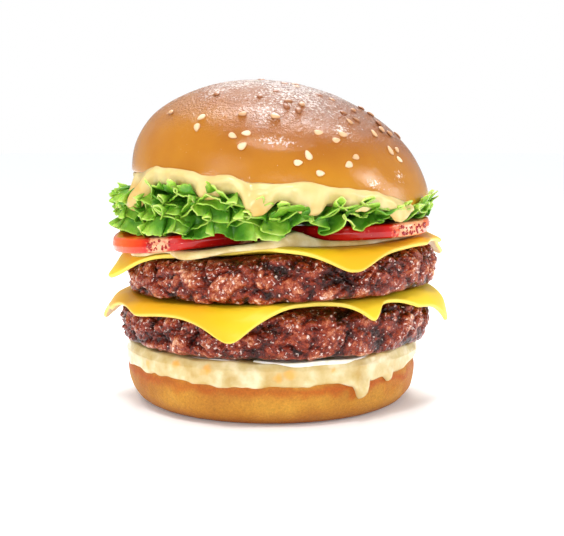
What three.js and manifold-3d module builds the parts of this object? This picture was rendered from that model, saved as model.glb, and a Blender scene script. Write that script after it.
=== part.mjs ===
/*
 * Double cheeseburger, in millimetres, +Z up.
 *
 * It stands on the flat foot of the heel, the lower half of the bun. The centre of that foot is
 * the origin, and -Y is the front. From the bottom up: heel, sauce, onion, patty, cheese, patty,
 * cheese, sauce, tomato, lettuce, sauce and the crown with its sesame seeds. Each piece is a
 * closed solid of its own, and a hair of air keeps neighbours apart.
 */
import * as THREE from 'three';
import { mergeVertices } from 'three/addons/utils/BufferGeometryUtils.js';
import Module from 'manifold-3d';

const wasm = await Module();
wasm.setup();

// ---- Driving dimensions ---------------------------------------------------------------------

const GAP = 0.3;

const HEEL_RADIUS = 50.8;
const HEEL_FOOT_RADIUS = 42.5;
const HEEL_WIDEST_HEIGHT = 11.8;
const HEEL_HEIGHT = 16.8;
const HEEL_EDGE_WIDTH = 2.6;
const HEEL_SEGMENTS = 50;
const HEEL_START = 34.5;

const HEEL_SAUCE_THICKNESS = 2.6;
const HEEL_SAUCE_TOP_EDGE = 0.8;
const HEEL_SAUCE_SKIRT = 0.7;
const HEEL_SAUCE_DRIP_THICKNESS = 1.5;
const HEEL_SAUCE_HANG = 2.8;
const HEEL_SAUCE_INNER_STEPS = [0.2, 0.55, 0.9];
const HEEL_SAUCE_MIDDLE_STEP = 0.6;
const HEEL_SAUCE_DRIPS = [
  { at: -100, depth: 0.6, spread: 22 },
  { at: -55.5, depth: 5.6, spread: 4.6 },
  { at: -41.5, depth: 1.8, spread: 3.4 },
  { at: -12, depth: -1.6, spread: 18 },
  { at: 38, depth: 3.2, spread: 5 },
  { at: 88, depth: 1.2, spread: 14 },
  { at: 131, depth: 4.4, spread: 4.8 },
  { at: 165, depth: -0.8, spread: 10 },
];

const ONION_THICKNESS = 1.5;
const ONION_WIDTH = 8;
const ONION_STEPS = 5;
const ONION_SLIVERS = [
  { name: 'onion_front_left', x: -5.6, y: -20.3, radius: 28.4, from: -160, to: -97 },
  { name: 'onion_front_right', x: 5.7, y: -17.6, radius: 33, from: -110, to: -38 },
  { name: 'onion_back_right', x: 15, y: 12, radius: 31.5, from: -8, to: 72 },
  { name: 'onion_back_left', x: -13, y: 13, radius: 32, from: 98, to: 176 },
];

const PATTY_RADIUS = 55.6;
const PATTY_SHOULDER = 7.6;
const PATTY_HEEL = 6;
const PATTY_FOOT_STEP = 6;
const PATTY_CRAG_DEPTH = 2.2;
const PATTY_CRAG_SIZE = 7;
const PATTY_CRAG_FADE = { inside: 4, width: 6 };
const PATTY_UNEVENNESS = 0.5;
const PATTY_SEGMENTS = 40;
const LOWER_PATTY = { x: 1.0, top: 37.2, slope: 0.03, swell: 0, phase: 0.4 };
const UPPER_PATTY = { x: 3.4, top: 53.3, slope: 0.045, swell: 1.6, phase: 2.1 };
const SWELL = { x: 1, y: -50, width: 16 };

const CHEESE_THICKNESS = 2;
const CHEESE_SLACK = 1.3;
const CHEESE_EDGE_GAP = 0.42;
const CHEESE_HALF_SIDE = 46;
const CHEESE_SQUARENESS = 20;
const CHEESE_FLAT = 0.7;
const CHEESE_RINGS = [0.7, 0.79, 0.89];
const CHEESE_RIM = { bottom: 0.99, top: 0.98 };
const CHEESE_LEAST_BEND = 6;
const CHEESE_CORNER_CROWDING = 0.03;
const CHEESE_SEGMENTS = 40;
const LOWER_CHEESE = {
  x: 0.5,
  corner: -102.6,
  droops: [84, 70, 66, 48],
  folds: [
    { at: -142, depth: 11, spread: 30 },
    { at: -102.6, depth: -1, spread: 12 },
    { at: -57, depth: 12.5, spread: 9 },
    { at: -34, depth: 8, spread: 18 },
    { at: -12.6, depth: 2.5, spread: 12 },
    { at: 120, depth: 9, spread: 16 },
    { at: 167.4, depth: 4, spread: 16 },
  ],
};
const UPPER_CHEESE = {
  x: 4.5,
  corner: -68,
  droops: [62, 44, 70, 43],
  folds: [
    { at: -160, depth: 2.6, spread: 14 },
    { at: -68, depth: -3.4, spread: 10 },
    { at: -28, depth: 5, spread: 20 },
    { at: 20, depth: 3.4, spread: 16 },
    { at: 66, depth: 5, spread: 14 },
  ],
};
const FOLD_SHARPNESS = 1.2;
const FOLD_POWER = 1.4;

const MIDDLE_SAUCE_THICKNESS = 0.8;
const MIDDLE_SAUCE_RADIUS = 46;
const MIDDLE_SAUCE_STEEPEST = 75;
const MIDDLE_SAUCE_BOTTOM_RINGS = [0.7, 0.87, 0.94];
const MIDDLE_SAUCE_TOP_RINGS = [0.7, 0.88, 0.98];
const MIDDLE_SAUCE_SEGMENTS = 42;
const MIDDLE_SAUCE_LOBES = [
  { at: -150, depth: 6, spread: 14 },
  { at: -122, depth: 8, spread: 14 },
  { at: -97, depth: 5, spread: 13 },
  { at: -30, depth: 1.5, spread: 14 },
  { at: 50, depth: 6, spread: 16 },
  { at: 118, depth: 8, spread: 14 },
  { at: 176, depth: 5, spread: 12 },
];

const TOMATO_THICKNESS = 4.8;
const TOMATO_EDGE = 1.1;
const TOMATO_SAG = 0.01;
const TOMATO_UNEVENNESS = 0.012;
const TOMATO_RING = 0.6;
const TOMATO_SEGMENTS = 28;
const TOMATOES = [
  { name: 'tomato_left', x: -25, y: -15, radius: 28.5 },
  { name: 'tomato_right', x: 25, y: -12, radius: 28.5 },
  { name: 'tomato_back', x: 1, y: 29, radius: 26 },
];

const LETTUCE_THICKNESS = 0.8;
const LETTUCE_FOLDS = 27;
const LETTUCE_FOLD_WANDER = 0.8;
const LETTUCE_CURL = 0.035;
const LETTUCE_RISE = 0.5;
const LETTUCE_MARGIN = 0.95;
const LETTUCE_FRILL = 1.8;
const LETTUCE_COLUMNS = 34;
const LETTUCE_ROWS = 4;
const LETTUCE_ROW_CROWDING = 1.5;
const LETTUCE_END_LOOSENESS = 10;
const LETTUCE_FALL = 1.5;
const LETTUCE_MIDDLE_LOBE = [{ at: -93, depth: 4, spread: 9 }];
const LETTUCE_LEAVES = [
  {
    name: 'lettuce_left', from: -200, to: -87, foot: 14, edge: 56,
    footLevel: 0.5, edgeLevel: 0.26, ruffle: 0.24, phase: 0.6,
  },
  {
    name: 'lettuce_left_top', from: -200, to: -87, foot: 20, edge: 51,
    footLevel: 0.94, edgeLevel: 0.8, ruffle: 0.18, phase: 2.2,
  },
  {
    name: 'lettuce_right', from: -85.5, to: 36, foot: 14, edge: 55.5,
    footLevel: 0.9, edgeLevel: 0.5, ruffle: 0.46, phase: 1.4,
  },
  {
    name: 'lettuce_back', from: 44, to: 146, foot: 14, edge: 54.5,
    footLevel: 0.9, edgeLevel: 0.45, ruffle: 0.42, phase: 0.2,
  },
];

const CROWN_RADIUS = 52.2;
const CROWN_HEIGHT = 35.4;
const CROWN_UNDERSIDE = 1.8;
const CROWN_EDGE = 4.4;
const CROWN_EDGE_BEND = 1.2 * CROWN_EDGE;
const CROWN_SEGMENTS = 38;
const CROWN_TILT = 6.8;
const CROWN_LEAN = 0.125;
const CROWN_PLACE = new THREE.Vector3(3, 0, 74.6);

const CROWN_SAUCE_THICKNESS = 0.7;
const CROWN_SAUCE_GAP = 0.42;
const CROWN_SAUCE_SKIRT = 1.5;
const CROWN_SAUCE_TUCK = 2.6;
const CROWN_SAUCE_RINGS = [0.86, 0.91, 0.94, 0.97];
const CROWN_SAUCE_RIM = [[0.99, -0.75], [1, -0.1]];
const CROWN_SAUCE_SEGMENTS = 50;
const CROWN_SAUCE_START = -11;
const DRIP_FULLNESS = 0.2;
const DRIP_SKIN_SHARE = 3;
const DRIP_START = 2;
const DRIP_FADE = 0.4;
const CROWN_SAUCE_LIPS = [
  { at: -122, depth: 5.6, spread: 38 },
  { at: -64, depth: 6.4, spread: 30 },
  { at: 58, depth: 5.2, spread: 30 },
  { at: 122, depth: 5.4, spread: 26 },
];
const CROWN_SAUCE_DRIPS = [
  { at: -148, depth: 10, spread: 8 },
  { at: -122, depth: 3.2, spread: 5 },
  { at: -101, depth: 7.4, spread: 4.6 },
  { at: -80, depth: 5, spread: 3.8 },
  { at: -71, depth: 2, spread: 5 },
  { at: -45, depth: 1.6, spread: 6 },
  { at: 47, depth: 4, spread: 4.6 },
  { at: 71, depth: 2, spread: 6 },
  { at: 103, depth: 7, spread: 4.8 },
  { at: 137, depth: 3.6, spread: 7 },
];

const SEED_LENGTH = 3.4;
const SEED_WIDTH = 2.3;
const SEED_THICKNESS = 1.3;
const SEED_TAPER = 0.45;
const SEED_LOWEST_HEIGHT = 7;
const SEED_RANDOM_START = 11;
const SEED_FRONT = { from: -155, to: -20 };
const SEED_MIDDLE_RING = 0.2;
const SEED_FRONT_CLUSTERS = [
  { at: -147, ring: 0.82, count: 1 },
  { at: -130, ring: 0.62, count: 1 },
  { at: -125, ring: 0.86, count: 2 },
  { at: -107, ring: 0.78, count: 1 },
  { at: -105, ring: 0.91, count: 3 },
  { at: -102, ring: 0.59, count: 1 },
  { at: -92, ring: 0.77, count: 1 },
  { at: -93, ring: 0.49, count: 1 },
  { at: -82, ring: 0.65, count: 4 },
  { at: -82, ring: 0.95, count: 2 },
  { at: -76, ring: 0.98, count: 1 },
  { at: -74, ring: 0.84, count: 1 },
  { at: -72, ring: 0.27, count: 3 },
  { at: -65, ring: 0.85, count: 2 },
  { at: -63, ring: 0.94, count: 2 },
  { at: -53, ring: 0.48, count: 2 },
  { at: -52, ring: 0.7, count: 3 },
  { at: -43, ring: 0.8, count: 1 },
  { at: -40, ring: 0.61, count: 1 },
  { at: -36, ring: 0.89, count: 3 },
  { at: -28, ring: 0.75, count: 3 },
];
const SEED_BACK_CLUSTERS = 28;
const SEED_BACK_TURN = 137.5;
const SEED_BACK_WANDER = 30;
const SEED_MOST_AT_BACK = 2.4;
const SEED_CLUSTER_RADIUS = 1.3;
const SEED_CLUSTER_GROWTH = 0.45;
const SEED_CLUSTER_WANDER = 40;
const SEED_LEAST_SLOPE = 0.03;

// ---- Shared geometry ------------------------------------------------------------------------

const radians = THREE.MathUtils.degToRad;
const clamp = THREE.MathUtils.clamp;

/** Degrees from one heading to another, the short way round. */
function turnBetween(from, to) {
  return THREE.MathUtils.euclideanModulo(to - from + 180, 360) - 180;
}

/** How far rounded lobes or drips reach at a heading in degrees. */
function lobeReach(lobes, heading) {
  const softness = 0.3;
  let reach = 0;
  for (const lobe of lobes) {
    const turn = turnBetween(lobe.at, heading) / lobe.spread;
    reach += lobe.depth * Math.exp(-(turn ** 4) - softness * turn ** 2);
  }
  return reach;
}

/** A slow wander round a circle, between about -1 and 1. */
function wander(angle, phase) {
  const waves = [
    { share: 0.5, turns: 2, shift: 1 },
    { share: 0.3, turns: 3, shift: 2.3 },
    { share: 0.2, turns: 5, shift: 4.1 },
  ];
  let total = 0;
  for (const wave of waves) {
    total += wave.share * Math.sin(wave.turns * angle + wave.shift * phase);
  }
  return total;
}

/** The random height, 0 to 1, that belongs to one corner of a grid. */
function gridHeight(i, j, k) {
  const steps = new THREE.Vector3(12.9898, 78.233, 37.719);
  const stretch = 43758.5453;
  const scattered = stretch * Math.sin(steps.dot(new THREE.Vector3(i, j, k)));
  return scattered - Math.floor(scattered);
}

/** Smooth lumps of a given size, 0 to 1, at a point in space. */
function lumps(point, size) {
  const [x, y, z] = point.toArray().map((value) => value / size);
  const [i, j, k] = [Math.floor(x), Math.floor(y), Math.floor(z)];
  const [u, v, w] = [x - i, y - j, z - k].map((t) => t * t * (3 - 2 * t));
  let height = 0;
  for (let corner = 0; corner < 8; corner += 1) {
    const [a, b, c] = [corner & 1, (corner >> 1) & 1, corner >> 2];
    const share = (a ? u : 1 - u) * (b ? v : 1 - v) * (c ? w : 1 - w);
    height += share * gridHeight(i + a, j + b, k + c);
  }
  return height;
}

/** Moves each vertex of a geometry by a function that changes the point it is given. */
function reshape(geometry, move) {
  const position = geometry.getAttribute('position');
  const point = new THREE.Vector3();
  for (let i = 0; i < position.count; i += 1) {
    point.fromBufferAttribute(position, i);
    move(point);
    position.setXYZ(i, point.x, point.y, point.z);
  }
  position.needsUpdate = true;
  return geometry;
}

/** Merges shared vertices and drops triangles that have no area. */
function weld(geometry) {
  geometry.deleteAttribute('normal');
  geometry.deleteAttribute('uv');
  const welded = mergeVertices(geometry);
  const corners = welded.getIndex().array;
  const kept = [];
  for (let i = 0; i < corners.length; i += 3) {
    const [a, b, c] = corners.slice(i, i + 3);
    if (a !== b && b !== c && c !== a) {
      kept.push(a, b, c);
    }
  }
  welded.setIndex(kept);
  return welded;
}

/**
 * A round body turned about Z from [radius, height] pairs that start on the axis at the bottom
 * and end on it at the top.
 */
function turned(outline, segments, start = 0) {
  const points = outline.map(([radius, height]) => new THREE.Vector2(radius, height));
  const geometry = new THREE.LatheGeometry(points, segments, start);
  geometry.rotateX(Math.PI / 2);
  return weld(geometry);
}

/** [radius, height] pairs at one height, from the middle outwards. */
function ringsAt(height, rings) {
  return rings.map((radius) => [radius, height]);
}

/** [radius, height] pairs along a quarter of an ellipse, without its first point. */
function quarter(centre, size, from, to, steps) {
  const pairs = [];
  for (let step = 1; step <= steps; step += 1) {
    const angle = radians(from + ((to - from) * step) / steps);
    pairs.push([centre[0] + size[0] * Math.cos(angle), centre[1] + size[1] * Math.sin(angle)]);
  }
  return pairs;
}

/** A closed manifold-3d solid made from a welded geometry. */
function solidOf(geometry) {
  return new wasm.Manifold(new wasm.Mesh({
    numProp: 3,
    vertProperties: new Float32Array(geometry.getAttribute('position').array),
    triVerts: new Uint32Array(geometry.getIndex().array),
  }));
}

/** The geometry of a manifold-3d solid. */
function geometryOf(solid) {
  const mesh = solid.getMesh();
  const geometry = new THREE.BufferGeometry();
  geometry.setAttribute('position', new THREE.BufferAttribute(mesh.vertProperties, 3));
  geometry.setIndex(new THREE.BufferAttribute(mesh.triVerts, 1));
  return geometry;
}

const burger = new THREE.Group();

/** Adds one named piece to a group, with its own material. */
function addPiece(group, name, geometry, color, roughness) {
  geometry.computeVertexNormals();
  const material = new THREE.MeshStandardMaterial({ color, roughness, metalness: 0 });
  const mesh = new THREE.Mesh(geometry, material);
  mesh.name = name;
  group.add(mesh);
  return mesh;
}

// ---- Heel and its sauce ---------------------------------------------------------------------

/** The heel's radius at a height. */
function heelRadiusAt(height) {
  if (height < HEEL_WIDEST_HEIGHT) {
    const below = (HEEL_WIDEST_HEIGHT - height) / HEEL_WIDEST_HEIGHT;
    return HEEL_FOOT_RADIUS + (HEEL_RADIUS - HEEL_FOOT_RADIUS) * Math.sqrt(1 - below ** 2);
  }
  const above = Math.min((height - HEEL_WIDEST_HEIGHT) / (HEEL_HEIGHT - HEEL_WIDEST_HEIGHT), 1);
  return HEEL_RADIUS - HEEL_EDGE_WIDTH * (1 - Math.sqrt(1 - above ** 2));
}

function heelGeometry() {
  const belly = [HEEL_RADIUS - HEEL_FOOT_RADIUS, HEEL_WIDEST_HEIGHT];
  const edge = [HEEL_EDGE_WIDTH, HEEL_HEIGHT - HEEL_WIDEST_HEIGHT];
  return turned([
    [0, 0],
    [HEEL_FOOT_RADIUS, 0],
    ...quarter([HEEL_FOOT_RADIUS, HEEL_WIDEST_HEIGHT], belly, -90, 0, 4),
    ...quarter([HEEL_RADIUS - HEEL_EDGE_WIDTH, HEEL_WIDEST_HEIGHT], edge, 0, 90, 2),
    [0, HEEL_HEIGHT],
  ], HEEL_SEGMENTS, radians(HEEL_START));
}

/** Outer radius of the sauce that hangs over the heel's edge, at a height. */
function heelSauceRadiusAt(height) {
  const widest = height < HEEL_WIDEST_HEIGHT ? heelRadiusAt(height) : HEEL_RADIUS;
  const below = clamp((HEEL_WIDEST_HEIGHT - height + 1) / 2, 0, 1);
  const thickness = HEEL_SAUCE_SKIRT + (HEEL_SAUCE_DRIP_THICKNESS - HEEL_SAUCE_SKIRT) * below;
  return widest + thickness;
}

/** Sauce that lies on the heel and hangs over its edge in drips. */
function heelSauceGeometry() {
  const floor = HEEL_HEIGHT + GAP;
  const top = floor + HEEL_SAUCE_THICKNESS;
  const rim = HEEL_RADIUS - HEEL_EDGE_WIDTH;
  const inside = rim + 1;
  const outside = HEEL_RADIUS + HEEL_SAUCE_SKIRT;
  const hangAt = (share) => HEEL_HEIGHT - share * HEEL_SAUCE_HANG;
  const geometry = turned([
    [0, floor],
    [rim, floor],
    ...HEEL_SAUCE_INNER_STEPS.map((share) => [inside, hangAt(share)]),
    [outside, hangAt(1)],
    [outside, hangAt(HEEL_SAUCE_MIDDLE_STEP)],
    [outside, HEEL_HEIGHT + GAP],
    [HEEL_RADIUS, top - HEEL_SAUCE_TOP_EDGE],
    [rim - HEEL_SAUCE_TOP_EDGE, top],
    [0, top],
  ], HEEL_SEGMENTS, radians(HEEL_START));
  return reshape(geometry, (point) => {
    if (point.z < HEEL_HEIGHT) {
      const heading = Math.atan2(point.y, point.x);
      const drip = lobeReach(HEEL_SAUCE_DRIPS, THREE.MathUtils.radToDeg(heading));
      const down = (HEEL_HEIGHT - point.z) / HEEL_SAUCE_HANG;
      const height = HEEL_HEIGHT - down * (HEEL_SAUCE_HANG + drip);
      const hugging = Math.hypot(point.x, point.y) < HEEL_RADIUS;
      const radius = hugging ? heelRadiusAt(height) + 1.6 * GAP : heelSauceRadiusAt(height);
      point.set(radius * Math.cos(heading), radius * Math.sin(heading), height);
    }
  });
}

addPiece(burger, 'bun_heel', heelGeometry(), 0xdfa048, 0.75);
addPiece(burger, 'sauce_heel', heelSauceGeometry(), 0xf1e4bd, 0.3);

// ---- Onion slivers --------------------------------------------------------------------------

/** A curved sliver of onion: part of a ring. */
function onionGeometry(sliver) {
  const from = radians(sliver.from);
  const to = radians(sliver.to);
  const shape = new THREE.Shape();
  shape.absarc(0, 0, sliver.radius, from, to, false);
  shape.absarc(0, 0, sliver.radius - ONION_WIDTH, to, from, true);
  shape.closePath();
  const geometry = new THREE.ExtrudeGeometry(shape, {
    depth: ONION_THICKNESS,
    bevelEnabled: false,
    curveSegments: ONION_STEPS,
  });
  geometry.translate(sliver.x, sliver.y, 0);
  return weld(geometry);
}

const onionFloor = HEEL_HEIGHT + HEEL_SAUCE_THICKNESS + 2 * GAP;
for (const sliver of ONION_SLIVERS) {
  const piece = addPiece(burger, sliver.name, onionGeometry(sliver), 0xe2dcc6, 0.35);
  piece.position.z = onionFloor;
}

// ---- Patties and cheese ---------------------------------------------------------------------

/** Height of a patty's top over a point: a slight slope, and a swelling at the front. */
function pattyTop(patty, x, y) {
  const away = ((x - SWELL.x) ** 2 + (y - SWELL.y) ** 2) / SWELL.width ** 2;
  return patty.top + patty.slope * x + patty.swell * Math.exp(-away);
}

/** Height of a patty's underside over a point: on the onion, or on the cheese below. */
function pattyBottom(patty, x, y) {
  if (patty === LOWER_PATTY) {
    return onionFloor + ONION_THICKNESS + 2 * GAP;
  }
  return pattyTop(LOWER_PATTY, x, y) + CHEESE_THICKNESS + 2 * GAP;
}

/** A coarse ground patty: a round slab with soft edges, and crags cut into its side. */
function pattyGeometry(patty) {
  const height = patty.top - pattyBottom(patty, 0, 0);
  const shoulder = PATTY_RADIUS - PATTY_SHOULDER;
  const waist = height - PATTY_SHOULDER;
  const geometry = turned([
    [0, 0],
    [PATTY_RADIUS - PATTY_HEEL - PATTY_FOOT_STEP, 0],
    [PATTY_RADIUS - PATTY_HEEL, 0],
    ...quarter([PATTY_RADIUS - PATTY_HEEL, waist], [PATTY_HEEL, waist], -90, 0, 3),
    ...quarter([shoulder, waist], [PATTY_SHOULDER, PATTY_SHOULDER], 0, 90, 4),
    [shoulder / 2, height],
    [0, height],
  ], PATTY_SEGMENTS);
  return reshape(geometry, (point) => {
    const radius = Math.hypot(point.x, point.y);
    const heading = Math.atan2(point.y, point.x);
    const inwards = shoulder - PATTY_CRAG_FADE.inside;
    const outwards = clamp((radius - inwards) / PATTY_CRAG_FADE.width, 0, 1);
    const crag = PATTY_CRAG_DEPTH * (1 - lumps(point, PATTY_CRAG_SIZE));
    const dent = outwards * (crag + PATTY_UNEVENNESS * (1 + wander(heading, patty.phase)));
    const place = Math.max(radius - dent, 0);
    const x = patty.x + place * Math.cos(heading);
    const y = place * Math.sin(heading);
    const bottom = pattyBottom(patty, x, y);
    const stretch = pattyTop(patty, x, y) - bottom - height;
    point.set(x, y, bottom + point.z + clamp(point.z / waist, 0, 1) * stretch);
  });
}

/**
 * Lays a point of a flat sheet over a patty. The point lies lift above the patty's top, and past
 * the patty's shoulder the sheet bends down over the edge until it has the steepest slope.
 */
function drape(point, patty, lift, steepest) {
  const across = point.x - patty.x;
  const reach = Math.hypot(across, point.y);
  const heading = Math.atan2(point.y, across);
  const shoulder = PATTY_RADIUS - PATTY_SHOULDER + CHEESE_SLACK;
  const excess = Math.max(reach - shoulder, 0);
  const bend = PATTY_SHOULDER + GAP + CHEESE_THICKNESS / 2;
  const slope = Math.min(excess / bend, steepest);
  const straight = excess - slope * bend;
  const over = PATTY_SHOULDER + lift + CHEESE_EDGE_GAP * Math.sin(slope);
  const radius = Math.min(reach, shoulder) + over * Math.sin(slope) + straight * Math.cos(slope);
  const x = patty.x + radius * Math.cos(heading);
  const y = radius * Math.sin(heading);
  const drop = PATTY_SHOULDER - over * Math.cos(slope) + straight * Math.sin(slope);
  point.set(x, y, pattyTop(patty, x, y) - drop);
}

/** How far pointed folds of a slice reach past its plain square, at a heading in degrees. */
function foldReach(folds, heading) {
  let reach = 0;
  for (const fold of folds) {
    const turn = Math.abs(turnBetween(fold.at, heading)) / fold.spread;
    reach += fold.depth * Math.exp(-FOLD_SHARPNESS * turn ** FOLD_POWER);
  }
  return reach;
}

/** Distance to the edge of a rounded square slice, at an angle from one of its corners. */
function sliceReach(angle) {
  const across = Math.abs(Math.cos(angle + Math.PI / 4)) ** CHEESE_SQUARENESS;
  const along = Math.abs(Math.sin(angle + Math.PI / 4)) ** CHEESE_SQUARENESS;
  return CHEESE_HALF_SIDE / (across + along) ** (1 / CHEESE_SQUARENESS);
}

/** How steeply a slice hangs, at an angle from its first corner: each corner has its own droop. */
function droopAt(cheese, angle) {
  const turns = THREE.MathUtils.euclideanModulo(angle / (Math.PI / 2), 4);
  const corner = Math.floor(turns);
  const share = THREE.MathUtils.smoothstep(turns - corner, 0, 1);
  const [here, next] = [cheese.droops[corner], cheese.droops[(corner + 1) % 4]];
  return here + (next - here) * share;
}

/** A square slice of cheese that has softened over a patty's edge. */
function cheeseGeometry(cheese, patty) {
  const half = CHEESE_THICKNESS / 2;
  const geometry = turned([
    ...ringsAt(-half, [0, ...CHEESE_RINGS, CHEESE_RIM.bottom]),
    [1, 0],
    ...ringsAt(half, [0, ...CHEESE_RINGS, CHEESE_RIM.top]).reverse(),
  ], CHEESE_SEGMENTS, radians(cheese.corner + 90));
  return reshape(geometry, (point) => {
    const fraction = Math.hypot(point.x, point.y);
    const turn = Math.atan2(point.y, point.x) - radians(cheese.corner);
    const angle = turn - CHEESE_CORNER_CROWDING * Math.sin(4 * turn);
    const droop = droopAt(cheese, angle);
    const heading = angle + radians(cheese.corner);
    const extra = foldReach(cheese.folds, THREE.MathUtils.radToDeg(heading));
    const edge = sliceReach(angle) + extra;
    const flat = Math.min(PATTY_RADIUS - PATTY_SHOULDER, edge - CHEESE_LEAST_BEND);
    const past = Math.max(fraction - CHEESE_FLAT, 0) / (1 - CHEESE_FLAT);
    const reach = (flat * Math.min(fraction, CHEESE_FLAT)) / CHEESE_FLAT + (edge - flat) * past;
    const lift = GAP + half + point.z;
    point.set(cheese.x + reach * Math.cos(heading), reach * Math.sin(heading), 0);
    drape(point, patty, lift, radians(droop));
  });
}

addPiece(burger, 'patty_lower', pattyGeometry(LOWER_PATTY), 0x5f3128, 0.6);
addPiece(burger, 'cheese_lower', cheeseGeometry(LOWER_CHEESE, LOWER_PATTY), 0xf0c22f, 0.35);
addPiece(burger, 'patty_upper', pattyGeometry(UPPER_PATTY), 0x5f3128, 0.6);
addPiece(burger, 'cheese_upper', cheeseGeometry(UPPER_CHEESE, UPPER_PATTY), 0xf0c22f, 0.35);

// ---- Sauce on the upper cheese --------------------------------------------------------------

const sauceFloor = CHEESE_THICKNESS + 2.5 * GAP;
const tomatoFloor = sauceFloor + MIDDLE_SAUCE_THICKNESS + 1.5 * GAP;

/** A thin spill of sauce that follows the cheese and hangs over its edge in lobes. */
function middleSauceGeometry() {
  const thick = MIDDLE_SAUCE_THICKNESS;
  const geometry = turned([
    ...ringsAt(0, [0, ...MIDDLE_SAUCE_BOTTOM_RINGS]),
    [1, thick / 3],
    ...ringsAt(thick, [0, ...MIDDLE_SAUCE_TOP_RINGS]).reverse(),
  ], MIDDLE_SAUCE_SEGMENTS);
  return reshape(geometry, (point) => {
    const fraction = Math.hypot(point.x, point.y);
    const heading = Math.atan2(point.y, point.x);
    const lobe = lobeReach(MIDDLE_SAUCE_LOBES, THREE.MathUtils.radToDeg(heading));
    const reach = fraction * (MIDDLE_SAUCE_RADIUS + lobe);
    const lift = sauceFloor + point.z;
    point.set(UPPER_PATTY.x + reach * Math.cos(heading), reach * Math.sin(heading), 0);
    drape(point, UPPER_PATTY, lift, radians(MIDDLE_SAUCE_STEEPEST));
  });
}

addPiece(burger, 'sauce_middle', middleSauceGeometry(), 0xefe2b4, 0.3);

// ---- Tomato slices --------------------------------------------------------------------------

/** Height of the underside of the tomato over a point: it sags a little past the patty's edge. */
function tomatoBed(x, y) {
  const past = Math.max(Math.hypot(x - UPPER_PATTY.x, y) - PATTY_RADIUS + PATTY_SHOULDER, 0);
  return pattyTop(UPPER_PATTY, x, y) + tomatoFloor - TOMATO_SAG * past ** 2;
}

/** A tomato slice that lies on the sauce. Where another slice lies, it is cut to fit beside it. */
function tomatoGeometry(slice, margin = 0) {
  const radius = slice.radius + margin;
  const high = TOMATO_THICKNESS + margin;
  const rings = [0, TOMATO_RING * radius, radius - TOMATO_EDGE];
  const geometry = turned([
    ...ringsAt(-margin, rings),
    [radius, TOMATO_EDGE - margin],
    [radius, high - TOMATO_EDGE],
    ...ringsAt(high, rings).reverse(),
  ], TOMATO_SEGMENTS);
  return reshape(geometry, (point) => {
    const heading = Math.atan2(point.y, point.x);
    const stretch = 1 + TOMATO_UNEVENNESS * wander(heading, slice.x);
    const x = slice.x + point.x * stretch;
    const y = slice.y + point.y * stretch;
    point.set(x, y, tomatoBed(x, y) + point.z);
  });
}

for (const [order, slice] of TOMATOES.entries()) {
  let solid = solidOf(tomatoGeometry(slice));
  for (const earlier of TOMATOES.slice(0, order)) {
    solid = solid.subtract(solidOf(tomatoGeometry(earlier, GAP)));
  }
  addPiece(burger, slice.name, geometryOf(solid), 0xc22026, 0.25);
}

// ---- Lettuce --------------------------------------------------------------------------------

/** Height of the lowest part of the crown and its sauce over a point. */
function crownFloor(x, y) {
  const across = x - CROWN_PLACE.x;
  const rim = CROWN_PLACE.z - Math.tan(radians(CROWN_TILT)) * across;
  const heading = THREE.MathUtils.radToDeg(Math.atan2(y, across));
  const underside = CROWN_UNDERSIDE + GAP + CROWN_SAUCE_THICKNESS;
  const drip = lobeReach(CROWN_SAUCE_DRIPS, heading);
  const hang = Math.max(underside, CROWN_UNDERSIDE + CROWN_SAUCE_GAP + drip);
  const radius = Math.hypot(across, y);
  const outer = CROWN_RADIUS + GAP + CROWN_SAUCE_SKIRT + DRIP_FULLNESS * drip;
  const near = clamp(radius - CROWN_RADIUS + CROWN_EDGE, 0, 1);
  const clear = clamp((radius - outer - LETTUCE_THICKNESS) / LETTUCE_RISE, 0, 1);
  return rim - (underside + (hang - underside) * near) * (1 - clear) + LETTUCE_RISE * clear;
}

/** A point on a lettuce leaf's middle surface, from its foot (t = 0) to its frilled edge (t = 1). */
function leafPoint(leaf, s, t) {
  const sweep = radians(leaf.from + (leaf.to - leaf.from) * s);
  const fold = LETTUCE_FOLDS * sweep + leaf.phase
    + LETTUCE_FOLD_WANDER * wander(sweep, leaf.phase);
  const growth = t ** 3;
  const looseness = Math.min(LETTUCE_END_LOOSENESS * s * (1 - s), 1);
  const heading = sweep + LETTUCE_CURL * looseness * growth * Math.sin(2 * fold);
  const frill = LETTUCE_FRILL * growth * Math.cos(fold + leaf.phase);
  const reach = leaf.foot + (leaf.edge - leaf.foot) * t + frill;
  const x = reach * Math.cos(heading);
  const y = reach * Math.sin(heading);
  const lobe = growth * lobeReach(LETTUCE_MIDDLE_LOBE, THREE.MathUtils.radToDeg(heading));
  const bed = tomatoBed(x, y) + TOMATO_THICKNESS + LETTUCE_MARGIN - lobe;
  const room = Math.max(crownFloor(x, y) - LETTUCE_MARGIN - bed, 0);
  const fall = Math.max(1 - t, 0) ** LETTUCE_FALL;
  const level = leaf.edgeLevel + (leaf.footLevel - leaf.edgeLevel) * fall;
  const share = level + leaf.ruffle * growth * Math.sin(fold);
  return new THREE.Vector3(x, y, bed + room * share);
}

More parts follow.
